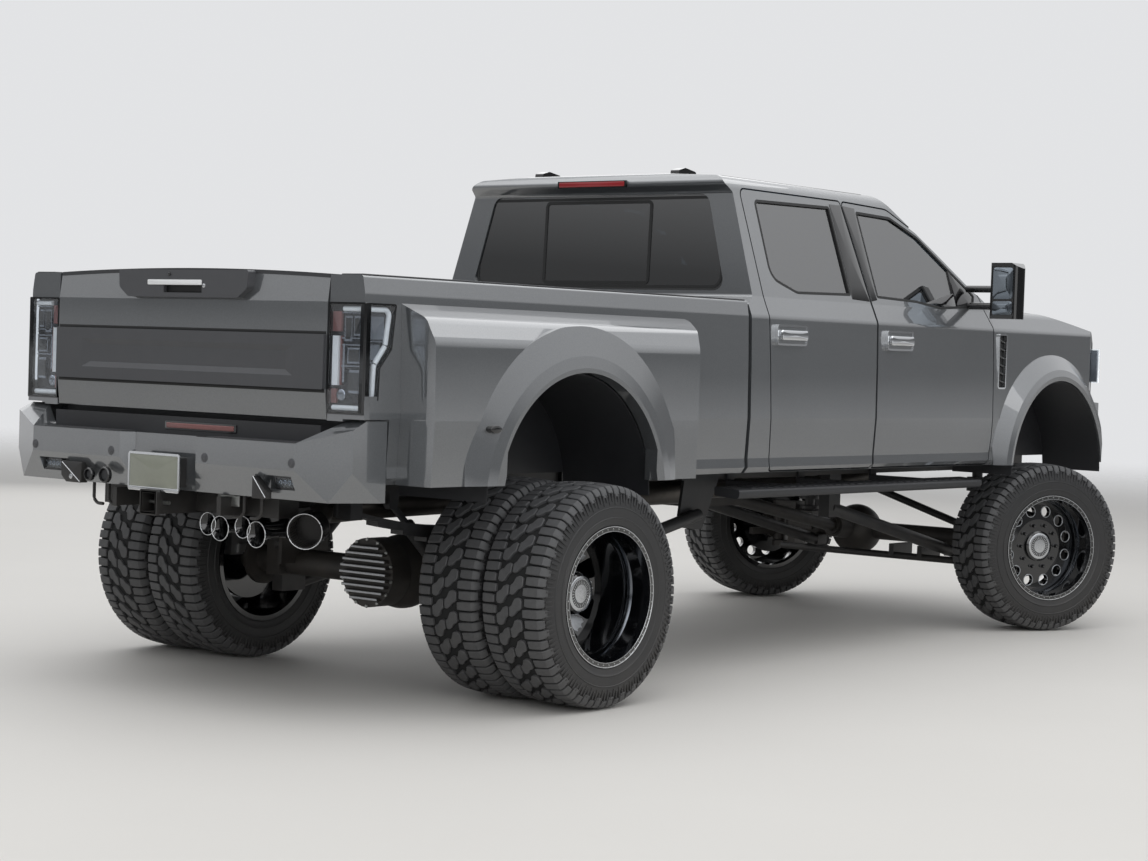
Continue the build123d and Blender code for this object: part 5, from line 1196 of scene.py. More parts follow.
@dataclass
class Cabin:
    """Padded seats with sewn channels, and the console with its arm rest."""

    rows: tuple[SeatRow, ...] = (
        SeatRow("driver", 2720.0, 150.0, 700.0, (425.0,)), SeatRow("passenger", 2720.0, -700.0, -150.0, (-425.0,)),
        SeatRow("bench", 1800.0, -720.0, 720.0, (-430.0, 0.0, 430.0)),
    )
    single: tuple[float, ...] = (-0.62, -0.2, 0.2, 0.62)
    triple: tuple[float, ...] = (-0.84, -0.5, -0.17, 0.17, 0.5, 0.84)
    steps: int = 48
    crown: float = 0.12
    # Powers that square the ball off along and across, depth of a channel and half its width
    square: tuple[float, float] = (0.28, 0.42)
    channel: tuple[float, float] = (0.13, 0.022)

    def pad(self, middle: Point, half: Point, lean: float, channels: tuple[float, ...] = ()) -> Shape:
        """Crowned pad: a ball whose coordinates are raised to a power, which squares it off.

        Its thickness grows towards the middle by the crown and sinks in a narrow dip at each sewn channel.

        Args:
            middle: Centre.
            half: Half depth along X, half width and half thickness.
            lean: Turn about Y in degrees, up at the front for less than nothing.
            channels: Places of the sewn channels in shares of the half width.

        Returns:
            Points and faces.
        """
        across = np.concatenate([np.linspace(-1, 1, 41), *[np.array([c - 0.02, c, c + 0.02]) for c in channels]])
        angle = np.arcsin(np.clip(np.unique(across), -1, 1))
        turn = np.linspace(0, 2 * math.pi, self.steps, endpoint=False)
        a, t = np.meshgrid(angle, turn, indexing="ij")

        def power(value: np.ndarray, amount: float) -> np.ndarray:
            """Power that keeps the sign."""
            return np.sign(value) * np.abs(value) ** amount

        width = np.sin(a)
        ends, sides = self.square
        ring = power(np.cos(a), ends)
        u, w = ring * power(np.cos(t), sides), ring * power(np.sin(t), sides)
        swell = 1 + self.crown * (1 - width ** 2) * (1 - np.clip(u, -1, 1) ** 2)
        depth, reach = self.channel
        for place in channels:
            swell = swell - depth * np.exp(-((width - place) / reach) ** 2)
        u, v, w = u * half[0], width * half[1], w * swell * half[2]
        c, s = math.cos(math.radians(lean)), math.sin(math.radians(lean))
        points = np.stack([u * c + w * s, v, w * c - u * s], axis=-1).reshape(-1, 3) + np.array(middle)
        return points, grid_faces(len(angle), self.steps, True)

    def seat(self, row: SeatRow) -> None:
        """Cushion, back and head rests of one row, with piping along the seams.

        Args:
            row: Place and width of the seat, and its head rests.
        """
        x, middle, half = row.x, (row.y0 + row.y1) / 2, (row.y1 - row.y0) / 2
        channels = self.single if len(row.heads) == 1 else self.triple
        pads = [("cushion", self.pad((x + 262, middle, 1345), (250, half - 6, 58), -4, channels)),
                ("back", self.pad((x - 12, middle, 1655), (292, half - 26, 56), 80, channels))]
        pads += [(f"head_rest_{number}", self.pad((x - 72, y, 2052), (84, 122, 36), 84))
                 for number, y in enumerate(row.heads)]
        for word, shape in pads:
            piece = fit(f"seat_{row.name}_{word}", shape, Finishes.SEAT_LEATHER, Crease.SOFT)
            if word == "cushion" and row.name == "driver":
                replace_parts(piece, "seats")
        base = slab(Face.SIDE, ((x + 30, 1126, 20), (x + 470, 1126, 20), (x + 490, 1318, 40), (x + 10, 1300, 40)),
                    row.y0 + 14, row.y1 - 14, 10.0)
        posts = [bar_along([(x - 66, y + shift, 1900), (x - 74, y + shift, 2010)], 6.0, 0, 8)
                 for y in row.heads for shift in (-45, 45)]
        seams = [bar_along([(x + 60, y, 1401), (x + 440, y, 1428)], 1.6, 0, 6)
                 for y in (middle + share * (half - 6) for share in channels)]
        fit(f"seat_{row.name}_base", base, Finishes.CABIN_PLASTIC)
        fit(f"seat_{row.name}_posts", joined(posts), Finishes.CHROME, Crease.ROUND)
        fit(f"seat_{row.name}_seams", joined(seams), Finishes.SEAT_THREAD, Crease.ROUND)

    def build(self) -> None:
        """Make the cabin on the fixed body."""
        for row in self.rows:
            self.seat(row)
        box = ((2762, 1126, 10), (3498, 1126, 10), (3498, 1440, 30), (3260, 1470, 60), (2762, 1470, 40))
        fit("console_box", slab(Face.SIDE, box, -112, 112, 14.0), Finishes.CABIN_PLASTIC)
        rest = self.pad((2920, 0, 1484), (155, 104, 15), 0)
        fit("console_arm_pad", rest, Finishes.SEAT_LEATHER, Crease.SOFT)


@dataclass
class Running:
    """Trumpet horns, the exhaust's tip and the rear axle's cover."""

    # Y and Z of the mouth, its radius and the horn's length
    horns: tuple[tuple[float, float, float, float], ...] = (
        (-140, 730, 46, 150), (-212, 716, 50, 210), (-345, 730, 44, 170), (-424, 706, 52, 240),
    )
    mouth_x: float = -1130.0
    tube: float = 14.0
    wall: float = 2.5
    decay: float = 7.0
    bell_steps: int = 40
    tip: Point = (-1105.0, -672.0, 735.0)
    tip_way: Point = (-105.0, -60.0, -11.0)
    # Y, Z and radius of the cover, and the step from fin to fin
    cover: Point = (-180.0, 485.0, 140.0)
    fin_step: float = 28.0

    def bell(self, mouth: float, length: float) -> Shape:
        """Hollow bell: its radius falls from the mouth's to the tube's as an exponential, outside and inside.

        Args:
            mouth: Radius of the mouth.
            length: Length of the horn.

        Returns:
            Points and faces of the closed wall.
        """
        share = np.linspace(0, 1, 14)
        outer = self.tube + (mouth - self.tube) * np.exp(-share * self.decay)
        inner = outer[::-1][2:] - self.wall
        profile = [*zip(share * length, outer), *zip(share[::-1][2:] * length, inner)]
        return turned(profile, self.bell_steps)[0], grid_faces(len(profile), self.bell_steps, True, True)

    def trumpets(self) -> None:
        """Hollow bells with bright rims, in place of the CAD solids."""
        turn = np.linspace(0, 2 * math.pi, self.bell_steps + 1)
        bells, rims = [], []
        for y, z, mouth, length in self.horns:
            bells.append(aimed(self.bell(mouth, length), (self.mouth_x, y, z), FORWARD))
            path = [np.full(len(turn), self.mouth_x - 0.5), y + mouth * np.cos(turn), z + mouth * np.sin(turn)]
            rims.append(tube_shape(np.column_stack(path), 2.4, 8))
        bracket = box_shape(-1010, -996, -470, -100, 690, 774.5)
        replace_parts(fit("horn_bells", joined([*bells, bracket]), Finishes.GLOSS_PLASTIC, Crease.TURNED),
                    "train_horns")
        fit("horn_rims", joined(rims), Finishes.CHROME, Crease.ROUND)

    def exhaust_tip(self) -> None:
        """Black sleeve over the tip, dark bore and a thin bright rim."""
        sleeve = turned([(-108, 0), (-108, 70.2), (-108, 71.6), (0.5, 71.6), (1.5, 70.5), (1.5, 63.0), (0.5, 62.0),
                         (-80, 62.0), (-80, 0)], 64)
        fit("exhaust_tip_sleeve", aimed(sleeve, self.tip, self.tip_way), Finishes.BLACKENED_STEEL, Crease.TURNED)
        turn = np.linspace(0, 2 * math.pi, 65)
        path = np.column_stack([70.6 * np.cos(turn), np.full(len(turn), 1.5), 70.6 * np.sin(turn)])
        ring = tube_shape(path, 2.2, 8)
        fit("exhaust_tip_rim", aimed(ring, self.tip, self.tip_way), Finishes.CHROME, Crease.ROUND)

    def axle_cover(self) -> None:
        """Machined edges of the differential cover's fins, and its ring of bolts."""
        y, z, radius = self.cover
        edges = []
        for fin in range(-4, 5):
            front = 225 + (34 - abs(fin) * 3)
            level = z + fin * self.fin_step
            half = math.sqrt(radius ** 2 - (fin * self.fin_step) ** 2) - 3
            rows = rectangle(y - half, y + half, level - 4.5, level + 4.5, 2)
            edges.append(slab(Face.REAR, rows, front - 1, front + 1.2, 0.6))
        fit("axle_cover_edges", joined(edges), Finishes.CLAW_ALLOY)
        bolt = aimed(turned([(0, 0), (0, 8), (7, 8), (9, 6), (9, 0)], 6), (0, 0, 0), BACKWARD)
        bolts = [moved(bolt, (-224.0, y + (radius + 6) * math.cos(t), z + (radius + 6) * math.sin(t)))
                 for t in np.arange(14) * 2 * math.pi / 14 + 0.2]
        fit("axle_cover_bolts", joined(bolts), Finishes.ZINC_BOLTS)

    def build(self) -> None:
        """Make the pieces on the fixed body."""
        self.trumpets()
        self.exhaust_tip()
        self.axle_cover()


@dataclass(frozen=True)
class WheelPlace:
    """Where a wheel's own axes stand: side, centre on the axle line, and whether it is steered."""

    side: Side
    centre_y: float
    front: bool = False

    def put(self, shape: Shape) -> Shape:
        """Move a shape from the wheel's axes, Y outboard, to the truck.

        A front wheel is also turned about its kingpin by the angle at rest.

        Args:
            shape: Points in metres and faces about the wheel's centre.

        Returns:
            The shape in its place, mirrored for a right wheel.
        """
        out, faces = on_side(moved(shape, (0.0, self.centre_y - (KINGPIN_Y if self.front else 0.0), 0.0)), self.side)
        if not self.front:
            return out + np.array([SHIFT_X, 0.0, TYRE_RADIUS]), faces
        c, s = math.cos(-STEER_AT_REST), math.sin(-STEER_AT_REST)
        turn = np.array([[c, -s, 0.0], [s, c, 0.0], [0.0, 0.0, 1.0]])
        return out @ turn.T + np.array([WHEELBASE + SHIFT_X, self.side.value * KINGPIN_Y, TYRE_RADIUS]), faces


@dataclass
class WheelDress:
    """Bright details of a wheel's outer face in millimetres from its middle, with Y outboard."""

    lip_y: float = 160.0
    steps: int = 128
    barrel: float = 264.4
    claw_rows: tuple[Corner, ...] = (
        (-13, 112, 3), (13, 112, 3), (9, 140, 20), (13, 168, 14), (34, 214, 3), (27, 229, 3), (9, 216, 12),
        (0, 238, 3), (-9, 216, 12), (-27, 229, 3), (-34, 214, 3), (-13, 168, 14), (-9, 140, 20),
    )
    # Radius and Y of the rear disc; twin wheels meet 175 mm inboard of the outer wheel's middle
    disc: tuple[tuple[float, float], ...] = ((0, -153), (170, -153), (240, -115), (262, -115))
    hole: float = 31.0

    def lip(self) -> tuple[Shape, Shape]:
        """Machined rings on the lip, and the ring of small studs between them."""
        y = self.lip_y
        rings = [[(y - 0.5, 289.5), (y + 1.2, 290.5), (y + 1.2, 294.0), (y - 0.5, 294.4), (y - 0.5, 289.5)],
                 [(y - 0.5, 271.8), (y + 0.9, 272.4), (y + 0.9, 274.0), (y - 0.5, 274.6), (y - 0.5, 271.8)]]
        stud = turned([(y - 0.5, 0), (y - 0.5, 3.4), (y + 2.2, 3.0), (y + 3.6, 1.4), (y + 3.8, 0)], 10)
        return joined([turned(ring, self.steps) for ring in rings]), spun(moved(stud, (0, 0, 282.5)), 48)

    def step(self) -> Shape:
        """Rounded step in the barrel, which catches the light as a band: half a sine wave in section."""
        share = np.linspace(0, 1, 13)
        crest = self.barrel - 1.0 - 9.0 * np.sin(share * math.pi)
        return turned([*zip(20 + share * 52, crest), (72.0, self.barrel), (20.0, self.barrel)], self.steps)

    def cap(self, y: float, radius: float) -> tuple[Shape, Shape]:
        """Hub cap: machined face with plain radial bars, and the black parts between them.

        Args:
            y: Plane of the CAD cap's face from the wheel's middle.
            radius: Radius of that face.

        Returns:
            The bright and the black shapes.
        """
        # Height over the face, and share of its radius
        bright = [(2.0, 0.80), (1.0, 0.79), (1.0, 0.52), (2.0, 0.51), (2.4, 0.36)]
        black = [(0.4, 0.525), (1.4, 0.53), (1.4, 0.785), (0.4, 0.79), (0.4, 0.525)]
        disc = turned([(y - 1, 0), (y - 1, radius), (y + 0.8, radius), (y + 2.0, radius - 1.5),
                       *((y + up, radius * share) for up, share in bright), (y + 3.2, 0)], 72)
        dark = turned([(y + up, radius * share) for up, share in black], 72)
        bar = slab(Face.SIDE, ((-1.6, radius * 0.55, 1), (1.6, radius * 0.55, 1), (2.4, radius * 0.76, 1),
                               (-2.4, radius * 0.76, 1)), y + 1.0, y + 2.1, 0.4)
        return joined([disc, spun(bar, 28)]), dark

    def claws(self) -> Shape:
        """Machined faces of the rear wheel's eight claw spokes; the disc's section gives their depth by radius."""
        return spun(laid(slab(Face.SIDE, self.claw_rows, -1.0, 2.0, 0.8), 1, self.disc), 8)

    def hole_rims(self) -> Shape:
        """Milled rims of the front wheel's twelve holes, tilted with the disc."""
        turn = np.linspace(0, 2 * math.pi, 33)
        z = 200 + self.hole * np.cos(turn)
        path = np.column_stack([self.hole * np.sin(turn), np.interp(z, [150, 235], [30, 22]), z])
        return spun(tube_shape(path, 2.6, 8), 12, 15.0)

    def nuts(self, count: int, radius: float, y: float) -> Shape:
        """Ring of nuts with domed ends, the first one half a step round.

        Args:
            count: Number of nuts.
            radius: Radius of their circle.
            y: Plane that they stand on.

        Returns:
            Points and faces.
        """
        nut = turned([(y - 1, 0), (y - 1, 13), (y + 2, 13), (y + 3, 10.5), (y + 18, 10.5), (y + 24, 8), (y + 26, 0)],
                     12)
        return spun(moved(nut, (0, 0, radius)), count, 180.0 / count)

    def build(self, side: Side) -> None:
        """Dress the outer rear wheel and the front wheel of one side.

        Args:
            side: Side of the truck.
        """
        lip, studs = self.lip()
        for end, place, body, cap, faces, nuts in (
            ("rear", WheelPlace(side, OUTER_TWIN_Y), "rear_wheels", self.cap(0.0, 75.0), self.claws(),
             self.nuts(8, 132, -153)),
            ("front", WheelPlace(side, FRONT_WHEEL_Y, True), "front_wheel", self.cap(50.0, 73.0), self.hole_rims(),
             self.nuts(10, 120, 28)),
        ):
            for word, (points, quads), finish in (
                ("lip_rings", lip, Finishes.MACHINED_ALLOY), ("lip_studs", studs, Finishes.ZINC_BOLTS),
                ("barrel_step", self.step(), Finishes.DARK_CHROME), ("cap_face", cap[0], Finishes.MACHINED_ALLOY),
                ("cap_ring", cap[1], Finishes.GLOSS_PLASTIC), ("nuts", nuts, Finishes.GLOSS_BLACK_WHEEL),
                ("machined_faces", faces, Finishes.CLAW_ALLOY),
            ):
                new_piece(f"wheel_{end}_{side.word}_{word}", place.put((points / MM, quads)), finish,
                          f"{body}_{side.word}", Crease.TURNED)


def strips(edges: np.ndarray, place: Callable[[np.ndarray, np.ndarray, float], np.ndarray],
           levels: tuple[float, float, float], chamfer: float) -> Shape:
    """Raised blocks, each a strip between two edges that are sampled at the same stations.

    A block has three rings: the foot, the edge of the top, and the top itself, drawn in by a chamfer.

    Args:
        edges: Array (blocks, stations, 3) of (v, s_low, s_high).
        place: Turns arrays of s and v and a level into points.
        levels: Level of the foot, of the chamfer's foot and of the top.
        chamfer: How far the top is drawn in.

    Returns:
        Points and faces of all blocks.
    """
    blocks, stations, _ = edges.shape
    v, low, high = edges[..., 0], edges[..., 1], edges[..., 2]
    middle = v.mean(axis=1, keepdims=True)
    shrink = 1.0 - chamfer / np.maximum(np.abs(v - middle).max(axis=1, keepdims=True), chamfer * 1.5)
    v_in = middle + (v - middle) * shrink
    low_in = low + chamfer * np.sign(high - low)
    high_in = high - chamfer * np.sign(high - low)
    rings = []
    for level, vv, a, b in ((levels[0], v, low, high), (levels[1], v, low, high), (levels[2], v_in, low_in, high_in)):
        loop_v = np.concatenate([vv, vv[:, ::-1]], axis=1)
        loop_s = np.concatenate([a, b[:, ::-1]], axis=1)
        rings.append(place(loop_s, loop_v, level))
    points = np.stack(rings, axis=1)
    count = 2 * stations
    side_faces = grid_faces(3, count, True)
    k = np.arange(stations - 1)
    top = np.stack([k, k + 1, count - 2 - k, count - 1 - k], axis=1) + 2 * count
    one = np.concatenate([side_faces, top])
    starts = (np.arange(blocks) * 3 * count)[:, None, None]
    return points.reshape(-1, 3), (one[None] + starts).reshape(-1, 4)


@dataclass
class MudTerrainTyre:
    """Tyre with two rows of angular middle blocks, shoulder lugs and short bars on its side walls, in metres.

    The outline is a table of arc length across the tread from the middle, half width and radius.
    """

    pitches: int = 33
    steps: int = 132
    groove: float = 0.0125
    probe: float = 0.004
    outline: tuple[Point, ...] = (
        (0.000, 0.000, 0.4695), (0.060, 0.060, 0.4680), (0.110, 0.110, 0.4650), (0.142, 0.1415, 0.4610),
        (0.158, 0.1530, 0.4500), (0.176, 0.1615, 0.4330), (0.204, 0.1660, 0.4060), (0.248, 0.1700, 0.3620),
        (0.290, 0.1680, 0.3250), (0.318, 0.1600, 0.2980), (0.330, 0.1500, 0.2945),
    )
    # Arc length from the middle, and depth of the carcass below the outline there
    sunk: tuple[tuple[float, float], ...] = (
        (0.0, groove), (0.15, groove), (0.18, 0.008), (0.215, 0.0028), (0.2345, 0.0028), (0.2365, 0.0006),
        (0.2390, 0.0006), (0.2410, 0.0028), (0.2820, 0.0028), (0.2840, 0.0004), (0.2880, 0.0004), (0.2900, 0.0016),
        (0.33, 0.0),
    )
    side_stations: tuple[float, ...] = (
        0.160, 0.170, 0.180, 0.196, 0.212, 0.226, 0.2345, 0.2365, 0.2390, 0.2410, 0.252, 0.262, 0.272, 0.2820,
        0.2840, 0.2880, 0.2900, 0.300, 0.310, 0.318, 0.325, 0.330,
    )
    # Rings of the carcass that lie between the shoulders
    groove_rings: range = range(20, 32)
    # Arc length across, then both edges along the tread, in shares of a pitch
    block_rows: tuple[tuple[Point, ...], ...] = (
        ((0.004, 0.06, 0.46), (0.016, 0.02, 0.56), (0.030, 0.10, 0.86), (0.044, 0.30, 0.93), (0.058, 0.36, 0.90),
         (0.066, 0.46, 0.80)),
        ((0.071, 0.04, 0.38), (0.090, 0.02, 0.42), (0.115, 0.02, 0.43), (0.142, 0.02, 0.43), (0.160, 0.02, 0.43),
         (0.192, 0.05, 0.40)),
        ((0.080, 0.56, 0.90), (0.096, 0.52, 0.92), (0.118, 0.52, 0.93), (0.142, 0.52, 0.93), (0.158, 0.52, 0.93),
         (0.176, 0.55, 0.90)),
    )
    bars_per_pitch: int = 4
    bar_width: float = 0.009

    def section(self, v: np.ndarray, sink: float) -> tuple[np.ndarray, np.ndarray]:
        """Width and radius at an arc length, sunk square to the surface.

        The sunk depth fades out down the side wall, so the carcass meets the outline there.

        Args:
            v: Signed arc length from the middle.
            sink: Depth below the outline.

        Returns:
            Width and radius arrays.
        """
        arc, width, radius = np.array(self.outline).T
        a = np.abs(v)
        y, r = np.interp(a, arc, width), np.interp(a, arc, radius)
        dy = np.interp(a + self.probe, arc, width) - np.interp(a - self.probe, arc, width)
        dr = np.interp(a + self.probe, arc, radius) - np.interp(a - self.probe, arc, radius)
        size = np.hypot(dy, dr) + 1e-9
        y = y + sink * dr / size
        r = r - sink * dy / size
        return np.sign(v) * y, r

    def on_tyre(self, s: np.ndarray, v: np.ndarray, level: float) -> np.ndarray:
        """Points at a distance s round the tread: the angle is s over the tyre's radius.

        Args:
            s: Distance round the tread.
            v: Signed arc length across it.
            level: Height over the outline.

        Returns:
            Array of (x, y, z) about the wheel's centre.
        """
        y, r = self.section(v, -level)
        t = s / TYRE_RADIUS
        return np.stack([r * np.sin(t), y, r * np.cos(t)], axis=-1)

    def carcass(self) -> Shape:
        """Body of the tyre under the blocks, as a surface of revolution of the sunk outline."""
        side = np.array(self.side_stations)
        v = np.concatenate([-side[::-1], np.linspace(-0.150, 0.150, 9), side])
        depth = np.interp(np.abs(v), *np.array(self.sunk).T)
        y, r = self.section(v, 0.0)
        y_sunk, r_sunk = self.section(v, 1.0)
        y = y + (y_sunk - y) * depth
        r = r + (r_sunk - r) * depth
        return turned(np.stack([y, r], axis=1), self.steps)

    def blocks(self) -> Shape:
        """All tread blocks: each row of one pitch is repeated round the tyre by adding whole pitches to s."""
        pitch = 2 * math.pi * TYRE_RADIUS / self.pitches
        rows = []
        for base in np.array(self.block_rows):
            # The other half of the tread is turned round and shifted by half a pitch
            far = base * np.array([-1.0, 1.0, 1.0])
            far[:, 1:] = 1.5 - base[:, [2, 1]]
            rows += [base, far]
        one = np.array(rows)
        one[..., 1:] *= pitch
        shift = np.zeros((self.pitches, 1, 1, 3))
        shift[:, 0, 0, 1:] = (np.arange(self.pitches) * pitch)[:, None]
        edges = (one[None] + shift).reshape(-1, one.shape[1], 3)
        return strips(edges, self.on_tyre, (-self.groove - 0.001, -0.0022, 0.0), 0.0024)

    def side_bars(self) -> Shape:
        """Fine radial bars below the shoulder on both walls, and a second row of short ones."""
        count = self.pitches * self.bars_per_pitch
        starts = np.arange(count) * (2 * math.pi * TYRE_RADIUS / count)
        rows = [[(sign * v, start, start + self.bar_width) for v in (0.180, 0.214 if k % 2 else 0.226)]
                for sign in (-1, 1) for k, start in enumerate(starts)]
        return strips(np.array(rows), self.on_tyre, (-0.008, -0.0012, 0.0), 0.0012)

    def build(self, name: str, places: list[WheelPlace], body: str, nodes: list[str]) -> None:
        """Make the tyre, or both tyres of a twin, and hide the CAD solid.

        Args:
            name: Piece name.
            places: One place for each tyre.
            body: Body that they ride on.
            nodes: CAD nodes that they replace.
        """
        carcass, blocks, bars = self.carcass(), self.blocks(), self.side_bars()
        one = joined([carcass, blocks, bars])
        # Rows of the carcass between the shoulders are the grooves, in near-black rubber as painted shade; the
        # blocks' tops and flanks are scuffed
        groove = np.isin(np.arange(len(carcass[1])) // self.steps, self.groove_rings).astype(int)
        index = np.concatenate([groove, np.full(len(blocks[1]), 2), np.zeros(len(bars[1]), int)])
        shape = joined([place.put(one) for place in places])
        piece = new_piece(name, shape, Finishes.TYRE_RUBBER, body, Crease.TREAD,
                          (Finishes.GROOVE_RUBBER, Finishes.TREAD_RUBBER),
                          np.tile(index, len(places)).astype(np.int32))
        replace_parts(piece, *nodes)


@dataclass
class StudioStage:
    """Pale floor, soft lamps, plain world, and the camera of the photograph."""

    eye: tuple[float, float, float] = (-7.661 + SHIFT_X, -7.255, 1.470)
    yaw: float = math.radians(38.64)
    pitch: float = math.radians(-1.87)
    roll: float = math.radians(1.88)
    lens: float = 73.53
    # Distances between which the floor fades out, and its two tones
    fade: tuple[float, float] = (11.0, 28.0)
    floor_rings: tuple[float, ...] = (0.0, 4.0, 9.0, 16.0, 30.0, 60.0)
    floor_steps: int = 96
    floor_tones: tuple[str, str] = ("#D9D7D3", "#DEDCD8")
    world_colour: str = "#F2F3F5"
    # Height on the ramp and strength of the reflected backdrop: pale floor, dim horizon, bright above
    ramp: tuple[tuple[float, float], ...] = (
        (0.0, 0.80), (0.185, 0.80), (0.215, 0.16), (0.30, 0.20), (0.37, 0.75), (0.60, 1.10), (0.80, 1.20), (1.0, 1.0),
    )

    def camera(self) -> None:
        """Stand the camera where the photograph was taken from.

        Its axes come from yaw and pitch, and are then rolled about the line of sight.
        """
        level = math.cos(self.pitch)
        forward = Vector((math.cos(self.yaw) * level, math.sin(self.yaw) * level, math.sin(self.pitch)))
        right = forward.cross(Vector((0, 0, 1))).normalized()
        up = right.cross(forward)
        c, s = math.cos(self.roll), math.sin(self.roll)
        right, up = right * c + up * s, up * c - right * s
        data = bpy.data.cameras.new("photograph_camera")
        data.lens = self.lens
        data.sensor_width = 36.0
        data.sensor_fit = "HORIZONTAL"
        data.clip_end = 200.0
        camera = add_object("photograph_camera", data)
        turn = Matrix((right, up, -forward)).transposed()
        camera.matrix_world = Matrix.Translation(self.eye) @ turn.to_4x4()
        bpy.context.scene.camera = camera

    def floor(self) -> None:
        """Round pale floor that fades into the backdrop with distance."""
        angle = np.linspace(0, 2 * math.pi, self.floor_steps, endpoint=False)
        r, t = np.meshgrid(self.floor_rings, angle, indexing="ij")
        points = np.stack([r * np.cos(t), r * np.sin(t), np.zeros_like(r)], axis=-1).reshape(-1, 3)
        mesh = bpy.data.meshes.new("studio_floor")
        mesh.from_pydata(points.tolist(), [], grid_faces(len(self.floor_rings), self.floor_steps, True).tolist())
        material = bpy.data.materials.new("painted_screed_pale")
        material.use_nodes = True
        tree = material.node_tree
        tree.nodes.clear()
        place = add_node(tree, "TexCoord")
        far = add_node(tree, "VectorMath", {"operation": "LENGTH"}, {0: place.outputs["Object"]})
        fade = add_node(tree, "MapRange", {"From Min": self.fade[0], "From Max": self.fade[1],
                                           "interpolation_type": "SMOOTHSTEP"},
                        {"Value": far.outputs["Value"]})
        noise = add_node(tree, "TexNoise", {"Scale": 0.8, "Detail": 8.0}, {"Vector": place.outputs["Object"]})
        tone = add_node(tree, "Mix", {"data_type": "RGBA"}, {0: noise.outputs["Fac"]})
        for socket, colour in zip((COLOUR_A, COLOUR_B), self.floor_tones):
            tone.inputs[socket].default_value = linear(colour)
        shader = add_node(tree, "BsdfPrincipled", {"Roughness": 0.7}, {"Base Color": tone.outputs[MIXED]})
        clear = add_node(tree, "BsdfTransparent")
        mix = add_node(tree, "MixShader", {}, {0: fade.outputs[0], 1: shader.outputs[0], 2: clear.outputs[0]})
        add_node(tree, "OutputMaterial", {}, {"Surface": mix.outputs[0]})
        mesh.materials.append(material)
        floor = add_object("studio_floor", mesh)
        floor.location = (0, 0, -0.0005)

    def lamps(self) -> None:
        """One large soft lamp above and two softer ones at the sides."""
        for name, place, aim, size, power in (
            ("top_softbox", (-0.5, -1.0, 7.5), (0, 0, 0), (16.0, 12.0), 600.0),
            ("camera_side_softbox", (-8.0, -9.0, 5.0), (0, 0, 1.0), (12.0, 8.0), 350.0),
            ("far_side_softbox", (6.0, 9.0, 5.0), (0, 0, 1.0), (12.0, 8.0), 220.0),
        ):
            data = bpy.data.lights.new(name, "AREA")
            data.shape = "RECTANGLE"
            data.size, data.size_y = size
            data.energy = power
            lamp = add_object(name, data)
            lamp.location = place
            lamp.rotation_euler = (Vector(aim) - Vector(place)).to_track_quat("-Z", "Y").to_euler()

    def world(self) -> None:
        """Pale backdrop for the camera and for reflections, dimmer as a source of light."""
        world = bpy.data.worlds.new("studio")
        bpy.context.scene.world = world
        world.use_nodes = True
        tree = world.node_tree
        tree.nodes.clear()
        ray = add_node(tree, "LightPath")
        place = add_node(tree, "TexCoord")
        height = add_node(tree, "SeparateXYZ", {}, {0: place.outputs["Generated"]})
        share = add_node(tree, "MapRange", {"From Min": -0.2, "From Max": 0.8}, {"Value": height.outputs["Z"]})
        band = add_node(tree, "ValToRGB", {}, {0: share.outputs[0]})
        stops = band.color_ramp.elements
        stops[0].position, stops[1].position = 0.0, 1.0
        for position, _ in self.ramp[1:-1]:
            stops.new(position)
        for stop, (_, value) in zip(stops, self.ramp):
            stop.color = (value, value, value, 1.0)
        seen = add_node(tree, "Math", {"operation": "MAXIMUM"},
                        {0: ray.outputs["Is Camera Ray"], 1: ray.outputs["Is Transmission Ray"]})
        plain = add_node(tree, "MapRange", {"To Min": 0.45, "To Max": 0.86}, {"Value": seen.outputs[0]})
        strength = add_node(tree, "Mix", {"data_type": "FLOAT"},
                            {0: ray.outputs["Is Glossy Ray"], VALUE_A: plain.outputs[0], VALUE_B: band.outputs[0]})
        light = add_node(tree, "Background", {"Color": linear(self.world_colour)},
                         {"Strength": strength.outputs[0]})
        add_node(tree, "OutputWorld", {}, {"Surface": light.outputs[0]})

    def build(self) -> None:
        """Set the whole stage."""
        self.camera()
        self.floor()
        self.lamps()
        self.world()
        bpy.context.scene.view_settings.view_transform = "Standard"


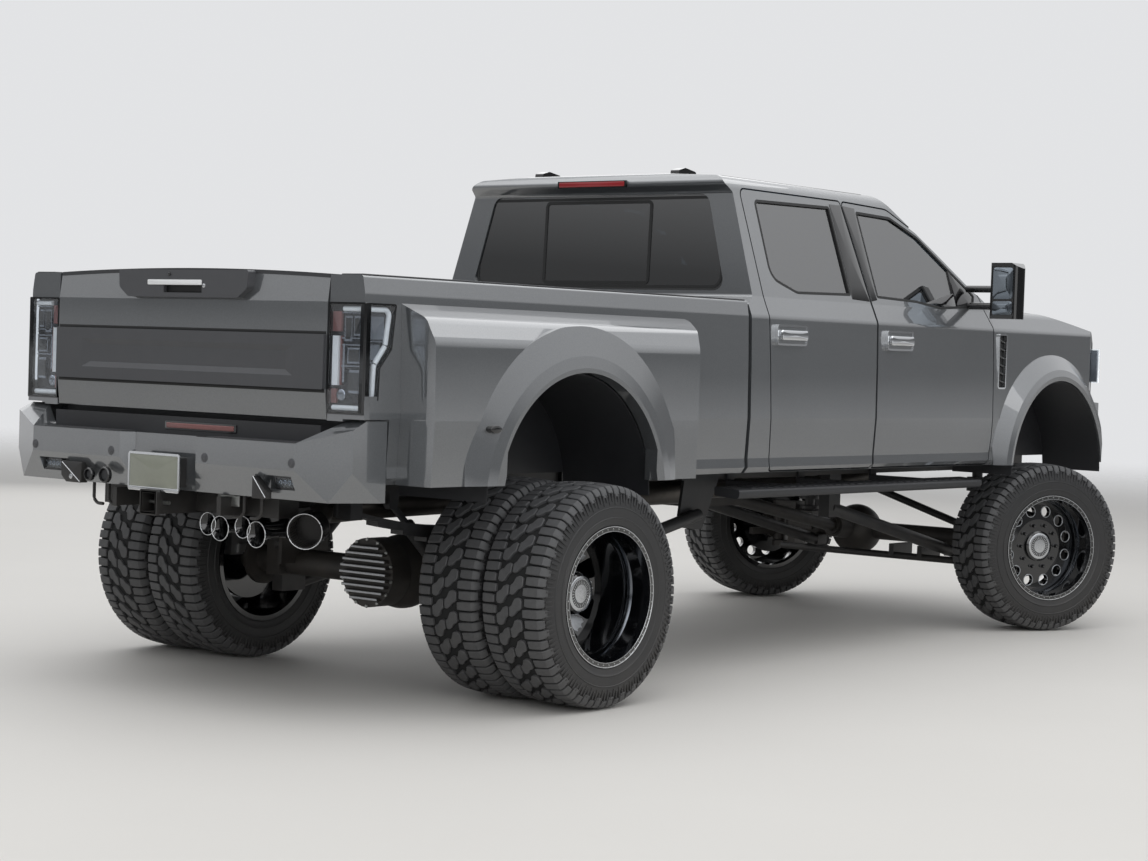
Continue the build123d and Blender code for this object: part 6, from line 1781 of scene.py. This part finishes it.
# A name that ends with an underscore stands for a node on each side
NODE_FINISHES: tuple[tuple[Finish, tuple[str, ...]], ...] = (
    (Finishes.BODY_PAINT, ("rear_bumper", "front_bumper", "cab_shell", "hood", "front_fenders", "bed",
                           "rear_fenders", "tailgate", "door_front_", "door_rear_")),
    (Finishes.CHASSIS_STEEL, ("frame_rails", "hitch_receiver", "drive_shafts")),
    (Finishes.MOUNT_RUBBER, ("body_mounts",)),
    (Finishes.PRIVACY_GLASS, ("cab_glass", "window_front_", "window_rear_")),
    (Finishes.GLOSS_PLASTIC, ("grille", "train_horns", "roof_trim", "mirror_")),
    (Finishes.CLEAR_LENS, ("headlamps",)),
    (Finishes.SMOKED_LENS, ("tail_lamps",)),
    (Finishes.SATIN_PANEL, ("tailgate_trim",)),
    (Finishes.CAST_IRON, ("rear_axle", "front_axle", "engine", "knuckle_")),
    (Finishes.CAST_ALUMINIUM, ("rear_calipers",)),
    (Finishes.SPRING_STEEL, ("front_suspension", "rear_suspension")),
    (Finishes.EXHAUST_STEEL, ("exhaust",)),
    (Finishes.MOULDED_PLASTIC, ("fuel_tank", "running_boards")),
    (Finishes.SEAT_LEATHER, ("seats",)),
    (Finishes.CABIN_PLASTIC, ("dashboard",)),
    (Finishes.GLOSS_BLACK_WHEEL, ("wheel_front_", "wheels_rear_")),
    (Finishes.TYRE_RUBBER, ("tyre_front_", "tyres_rear_")),
)


def dress_nodes(nodes: dict[str, bpy.types.Object]) -> None:
    """Give every CAD node its finish.

    Args:
        nodes: Node names to objects.
    """
    table = {name + word: finish for finish, names in NODE_FINISHES for name in names
             for word in ([side.word for side in Side] if name.endswith("_") else [""])}
    for name, node in nodes.items():
        material = table[name].make()
        if not node.data.materials:
            node.data.materials.append(material)
        for slot in node.material_slots:
            slot.material = material
        LOG.info("%s: %s", name, material.name)


def main() -> None:
    """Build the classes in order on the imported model."""
    logging.basicConfig(level=logging.INFO, format="%(message)s")
    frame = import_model()
    StudioStage().build()
    dress_nodes(frame["nodes"])
    tyre = MudTerrainTyre()
    for side in Side:
        tyre.build(f"mud_terrain_tyre_front_{side.word}", [WheelPlace(side, FRONT_WHEEL_Y, True)],
                   f"front_wheel_{side.word}", [f"tyre_front_{side.word}"])
        tyre.build(f"mud_terrain_tyres_rear_{side.word}",
                   [WheelPlace(side, INNER_TWIN_Y), WheelPlace(side, OUTER_TWIN_Y)],
                   f"rear_wheels_{side.word}", [f"tyres_rear_{side.word}"])
    TailLamp().build()
    TailgateTrim().build()
    RearBumperFittings().build()
    HitchFittings().build()
    for side in Side:
        DoorTrim(side).build()
        WheelDress().build(side)
    BodyTrim().build()
    FrontEnd().build()
    Cabin().build()
    Running().build()


if __name__ == "__main__":
    main()
